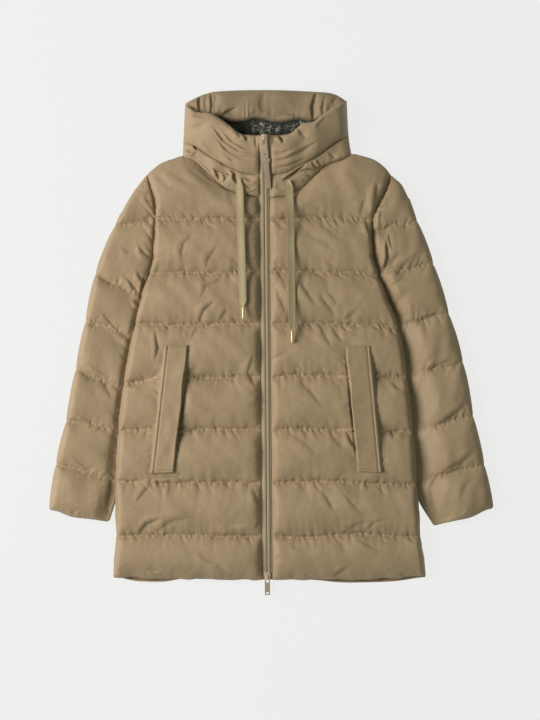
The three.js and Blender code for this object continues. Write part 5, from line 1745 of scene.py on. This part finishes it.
# %% Welt points
def welt(side):
    """A welt's points: v runs down it and u across it from left to right. Its border is rounded
    off over 2 mm, furrows run where it is stitched, and its open inner edge ripples."""
    corners = np.array(WELTS[side], float)
    v, u = WELT_DOWN[:, None], WELT_ACROSS[None, :]
    top = corners[0] * (1 - u[..., None]) + corners[1] * u[..., None]
    low = corners[3] * (1 - u[..., None]) + corners[2] * u[..., None]
    spot = top * (1 - v[..., None]) + low * v[..., None]
    x, y = spot[..., 0], spot[..., 1]
    from_outer = (u if side == "left" else 1 - u) * WELT_WIDE + 0 * x
    from_inner = WELT_WIDE - from_outer
    from_ends = np.minimum(v, 1 - v) * WELT_LONG + 0 * x
    ends = np.sin(np.pi * np.clip(v, 0, 1)) ** 0.5
    x = x - OUT[side] * uneven(y, 60, 931) * np.exp(-from_inner / 8) * ends
    edge = np.minimum(np.minimum(from_outer, from_inner), from_ends)
    height = WELT_THICK * (0.25 + 0.75 * edge_roll(edge, 2.2))
    for far in OUTER_FURROWS:
        height = height - FURROW * np.exp(-(((from_outer - far) / 1.0) ** 2))
    at_ends = np.exp(-(((from_ends - END_FURROW) / 1.1) ** 2))
    height = height - 0.8 * FURROW * at_ends * (from_outer > 5)
    middle = np.exp(-((from_inner - 16) / 14) ** 2) * ends
    height = height + middle * (0.5 + 0.6 * ripple(x, y, 46, 932 + (side == "left")))
    beside_seam = np.abs(from_outer - OUTER_FURROWS[1])
    height = height + 0.25 * pleats(y, beside_seam, 9, 4, 0.3, 934)
    raised, over = WELT_LIFT[side]
    base = WELT_LEVEL + GAP + raised * np.exp(-from_inner / over) * ends
    upper = np.stack([x, y, base + np.maximum(height, 0.6)], -1)
    lower = np.stack([x, y, base + 0 * x], -1)
    return upper, lower


for side in SIDES:
    upper, lower = welt(side)
    obj = closed_panel(f"pocket_welt_{side}_stitched", upper, lower[::2, ::2])
    shell_piece(obj, f"pocket_welt_{side}")
    surfaces["welt", side] = upper

# %% [markdown]
# ## Zip
# The zip is a coil zip turned over, so its face is two smooth ribs side by side with a fine
# seam between them, on narrow tapes that go in under the fronts. Each half is one profile,
# carried down the zip's leaning line at the height of the collar, the chest and the hem.

# %% Zip tapes
# Distances from the zip's middle and heights over the CAD tape's face, across one half.
RIB_PROFILE = np.array([
    (0.25, -1.6), (0.25, 0.2), (0.55, 0.8), (1.2, 1.15), (2.6, 1.3), (4.2, 1.25), (5.2, 1.0),
    (5.7, 0.5), (5.95, -0.1), (6.4, -0.25), (7.4, -0.1), (8.3, -0.15), (8.45, -0.6),
    (9.9, -2.0), (9.9, -2.5)])
TAPE_STATIONS = 260
TAPE_TOP_Y, TAPE_FOOT_Y = ZIP_TOP_Y - 4.2, -412     # turned in behind the collar's rim


def zip_half(side):
    """One half of the zip: the profile carried down from the collar to the hem and closed
    underneath, and both ends closed by one face."""
    y = np.linspace(TAPE_TOP_Y, TAPE_FOOT_Y, TAPE_STATIONS)[:, None]
    n = len(RIB_PROFILE)
    x = zip_line(y) + OUT[side] * RIB_PROFILE[None, :, 0]
    z = zip_level(y) + RIB_PROFILE[None, :, 1]
    points = np.stack([x, y + 0 * x, z], -1)
    quads = ring_quads(TAPE_STATIONS, n)[:, [0, 3, 2, 1]]
    last = (TAPE_STATIONS - 1) * n
    faces = quads.tolist() + [list(range(n)), list(range(last, last + n))[::-1]]
    if side == "left":
        faces = [f[::-1] for f in faces]
    obj = mesh_object(f"zip_half_{side}_coiled", points.reshape(-1, 3), faces)
    write_uv(obj, np.tile(RIB_PROFILE[:, 0], TAPE_STATIONS), np.repeat(y[:, 0], n))
    return obj


for side in SIDES:
    obj = zip_half(side)
    dress(obj, tape, f"zip_tape_{side}")
    count(obj)

# %% [markdown]
# ## Sliders and pulls
# The sliders and their pulls are small cast parts, and the grip is a moulded strap. Their CAD
# shapes are right but have razor edges, which no casting has. Each one is copied, its loose
# triangles are joined and its flat faces made whole, and a Bevel rounds every edge.

# %% Castings
def cast_copy(name, node_name, body, mat=metal, radius=0.3):
    """A copy of a CAD part with its edges rounded over `radius` mm."""
    mesh = bpy.data.objects[node_name].data.copy()
    mesh.name = name
    work = bmesh.new()
    work.from_mesh(mesh)
    bmesh.ops.remove_doubles(work, verts=work.verts, dist=1e-6)
    bmesh.ops.dissolve_limit(work, angle_limit=math.radians(1), verts=work.verts,
                             edges=work.edges)
    work.to_mesh(mesh)
    work.free()
    mesh.materials.clear()
    mesh.polygons.foreach_set("use_smooth", np.ones(len(mesh.polygons), bool))
    obj = bpy.data.objects.new(name, mesh)
    scene.collection.objects.link(obj)
    bevel = obj.modifiers.new("rounded edges", "BEVEL")
    bevel.width = radius * MM
    bevel.segments = 3
    bevel.limit_method = "ANGLE"
    bevel.angle_limit = math.radians(28)
    bevel.harden_normals = True
    dress(obj, mat, node_name, body)
    count(obj)


cast_copy("slider_upper_cast", "slider_upper", "jacket")
cast_copy("slider_lower_cast", "slider_lower", "jacket")
cast_copy("pull_upper_tab_cast", "pull_upper_tab", "upper_pull")
cast_copy("pull_lower_tab_cast", "pull_lower_tab", "lower_pull")
cast_copy("pull_upper_grip_moulded", "pull_upper_grip", "upper_pull", rubber, 0.7)

# %% [markdown]
# ## Thread
# Rows of lockstitches hold the quilting and the welts. Each stitch is a short
# tapering bead of thread, half sunk in the cloth. They could be a texture, but real beads
# catch the light and cast the small shadows that make a seam look sewn.

# %% Stitches
STITCH_PITCH, STITCH_LONG, STITCH_RADIUS, STITCH_RAISED = 3.0, 2.2, 0.3, 0.12
BEAD_RINGS = np.array([(-1.0, 0.15), (-0.72, 0.85), (0.72, 0.85), (1.0, 0.15)])
BEAD_SIDES = 6


# %% Beads along a line
def resampled(points, pitch):
    """Points a fixed distance apart along a line of points."""
    far = travelled(points)
    at = np.arange(pitch, far[-1] - pitch, pitch)
    return np.stack([np.interp(at, far, points[:, k]) for k in range(3)], -1)


def stitches(name, lines):
    """All stitches along some lines of points on the cloth, as one mesh: every bead is six
    sided and has four rings along the line, from thin to full and back to thin."""
    spots = [resampled(np.asarray(line, float), STITCH_PITCH) for line in lines]
    spots = [spot for spot in spots if len(spot) > 2]
    spot = np.concatenate(spots)
    head = np.concatenate([np.gradient(spot, axis=0) for spot in spots])
    head = head / np.linalg.norm(head, axis=1)[:, None]
    wide = np.cross(head, [0, 0, 1.0])
    wide /= np.linalg.norm(wide, axis=1)[:, None]
    up = np.cross(wide, head)
    angle = np.arange(BEAD_SIDES) / BEAD_SIDES * 2 * np.pi
    along = head[:, None, None] * (BEAD_RINGS[:, 0] * STITCH_LONG / 2)[None, :, None, None]
    ring = (wide[:, None, None] * np.cos(angle)[None, None, :, None]
            + up[:, None, None] * np.sin(angle)[None, None, :, None])
    ring = ring * (BEAD_RINGS[:, 1] * STITCH_RADIUS)[None, :, None, None]
    points = spot[:, None, None] + along + ring + [0, 0, STITCH_RAISED]
    n, m = len(BEAD_RINGS), BEAD_SIDES
    first = np.arange(len(spot))[:, None] * n * m
    quads = (ring_quads(n, m)[None] + first[:, :, None]).reshape(-1, 4)
    caps = np.concatenate([first + np.arange(m)[::-1], first + (n - 1) * m + np.arange(m)])
    obj = mesh_object(name, points.reshape(-1, 3), quads.tolist() + caps.tolist())
    dress(obj, thread)
    print(name, "has", len(spot), "stitches")
    count(obj)


# %% Sewn lines
for side in SIDES:
    fine, lines = surfaces["front", side], []
    for row in (fine[2 * FRONT_STEPS * (n + 1), 5:-5] for n in range(QUILT_LINES)):
        # A row is cut where the welt covers it.
        seen = np.flatnonzero(inside(row[:, 0], row[:, 1], WELTS[side]) <= -1)
        lines += [row[run] for run in np.split(seen, np.flatnonzero(np.diff(seen) > 1) + 1)]
    stitches(f"quilting_thread_{side}", lines)
    fine = surfaces["sleeve", side]
    seams = [int(2 * SLEEVE_STEPS * s) for s in sleeves[side]["seams"][1:-1]]
    stitches(f"sleeve_thread_{side}", [fine[s, 4:-4] for s in seams])
    # The welt is sewn in the inner one of its two furrows and in those at its ends.
    fine = surfaces["welt", side]
    furrow = int(np.argmin(np.abs(WELT_ACROSS - OUTER_FURROWS[1] / WELT_WIDE)))
    furrow = furrow if side == "left" else -1 - furrow
    end = int(np.argmin(np.abs(WELT_DOWN - END_FURROW / WELT_LONG)))
    stitches(f"welt_thread_{side}", [
        fine[2:-2, furrow], fine[end, 3:-3], fine[-1 - end, 3:-3]])
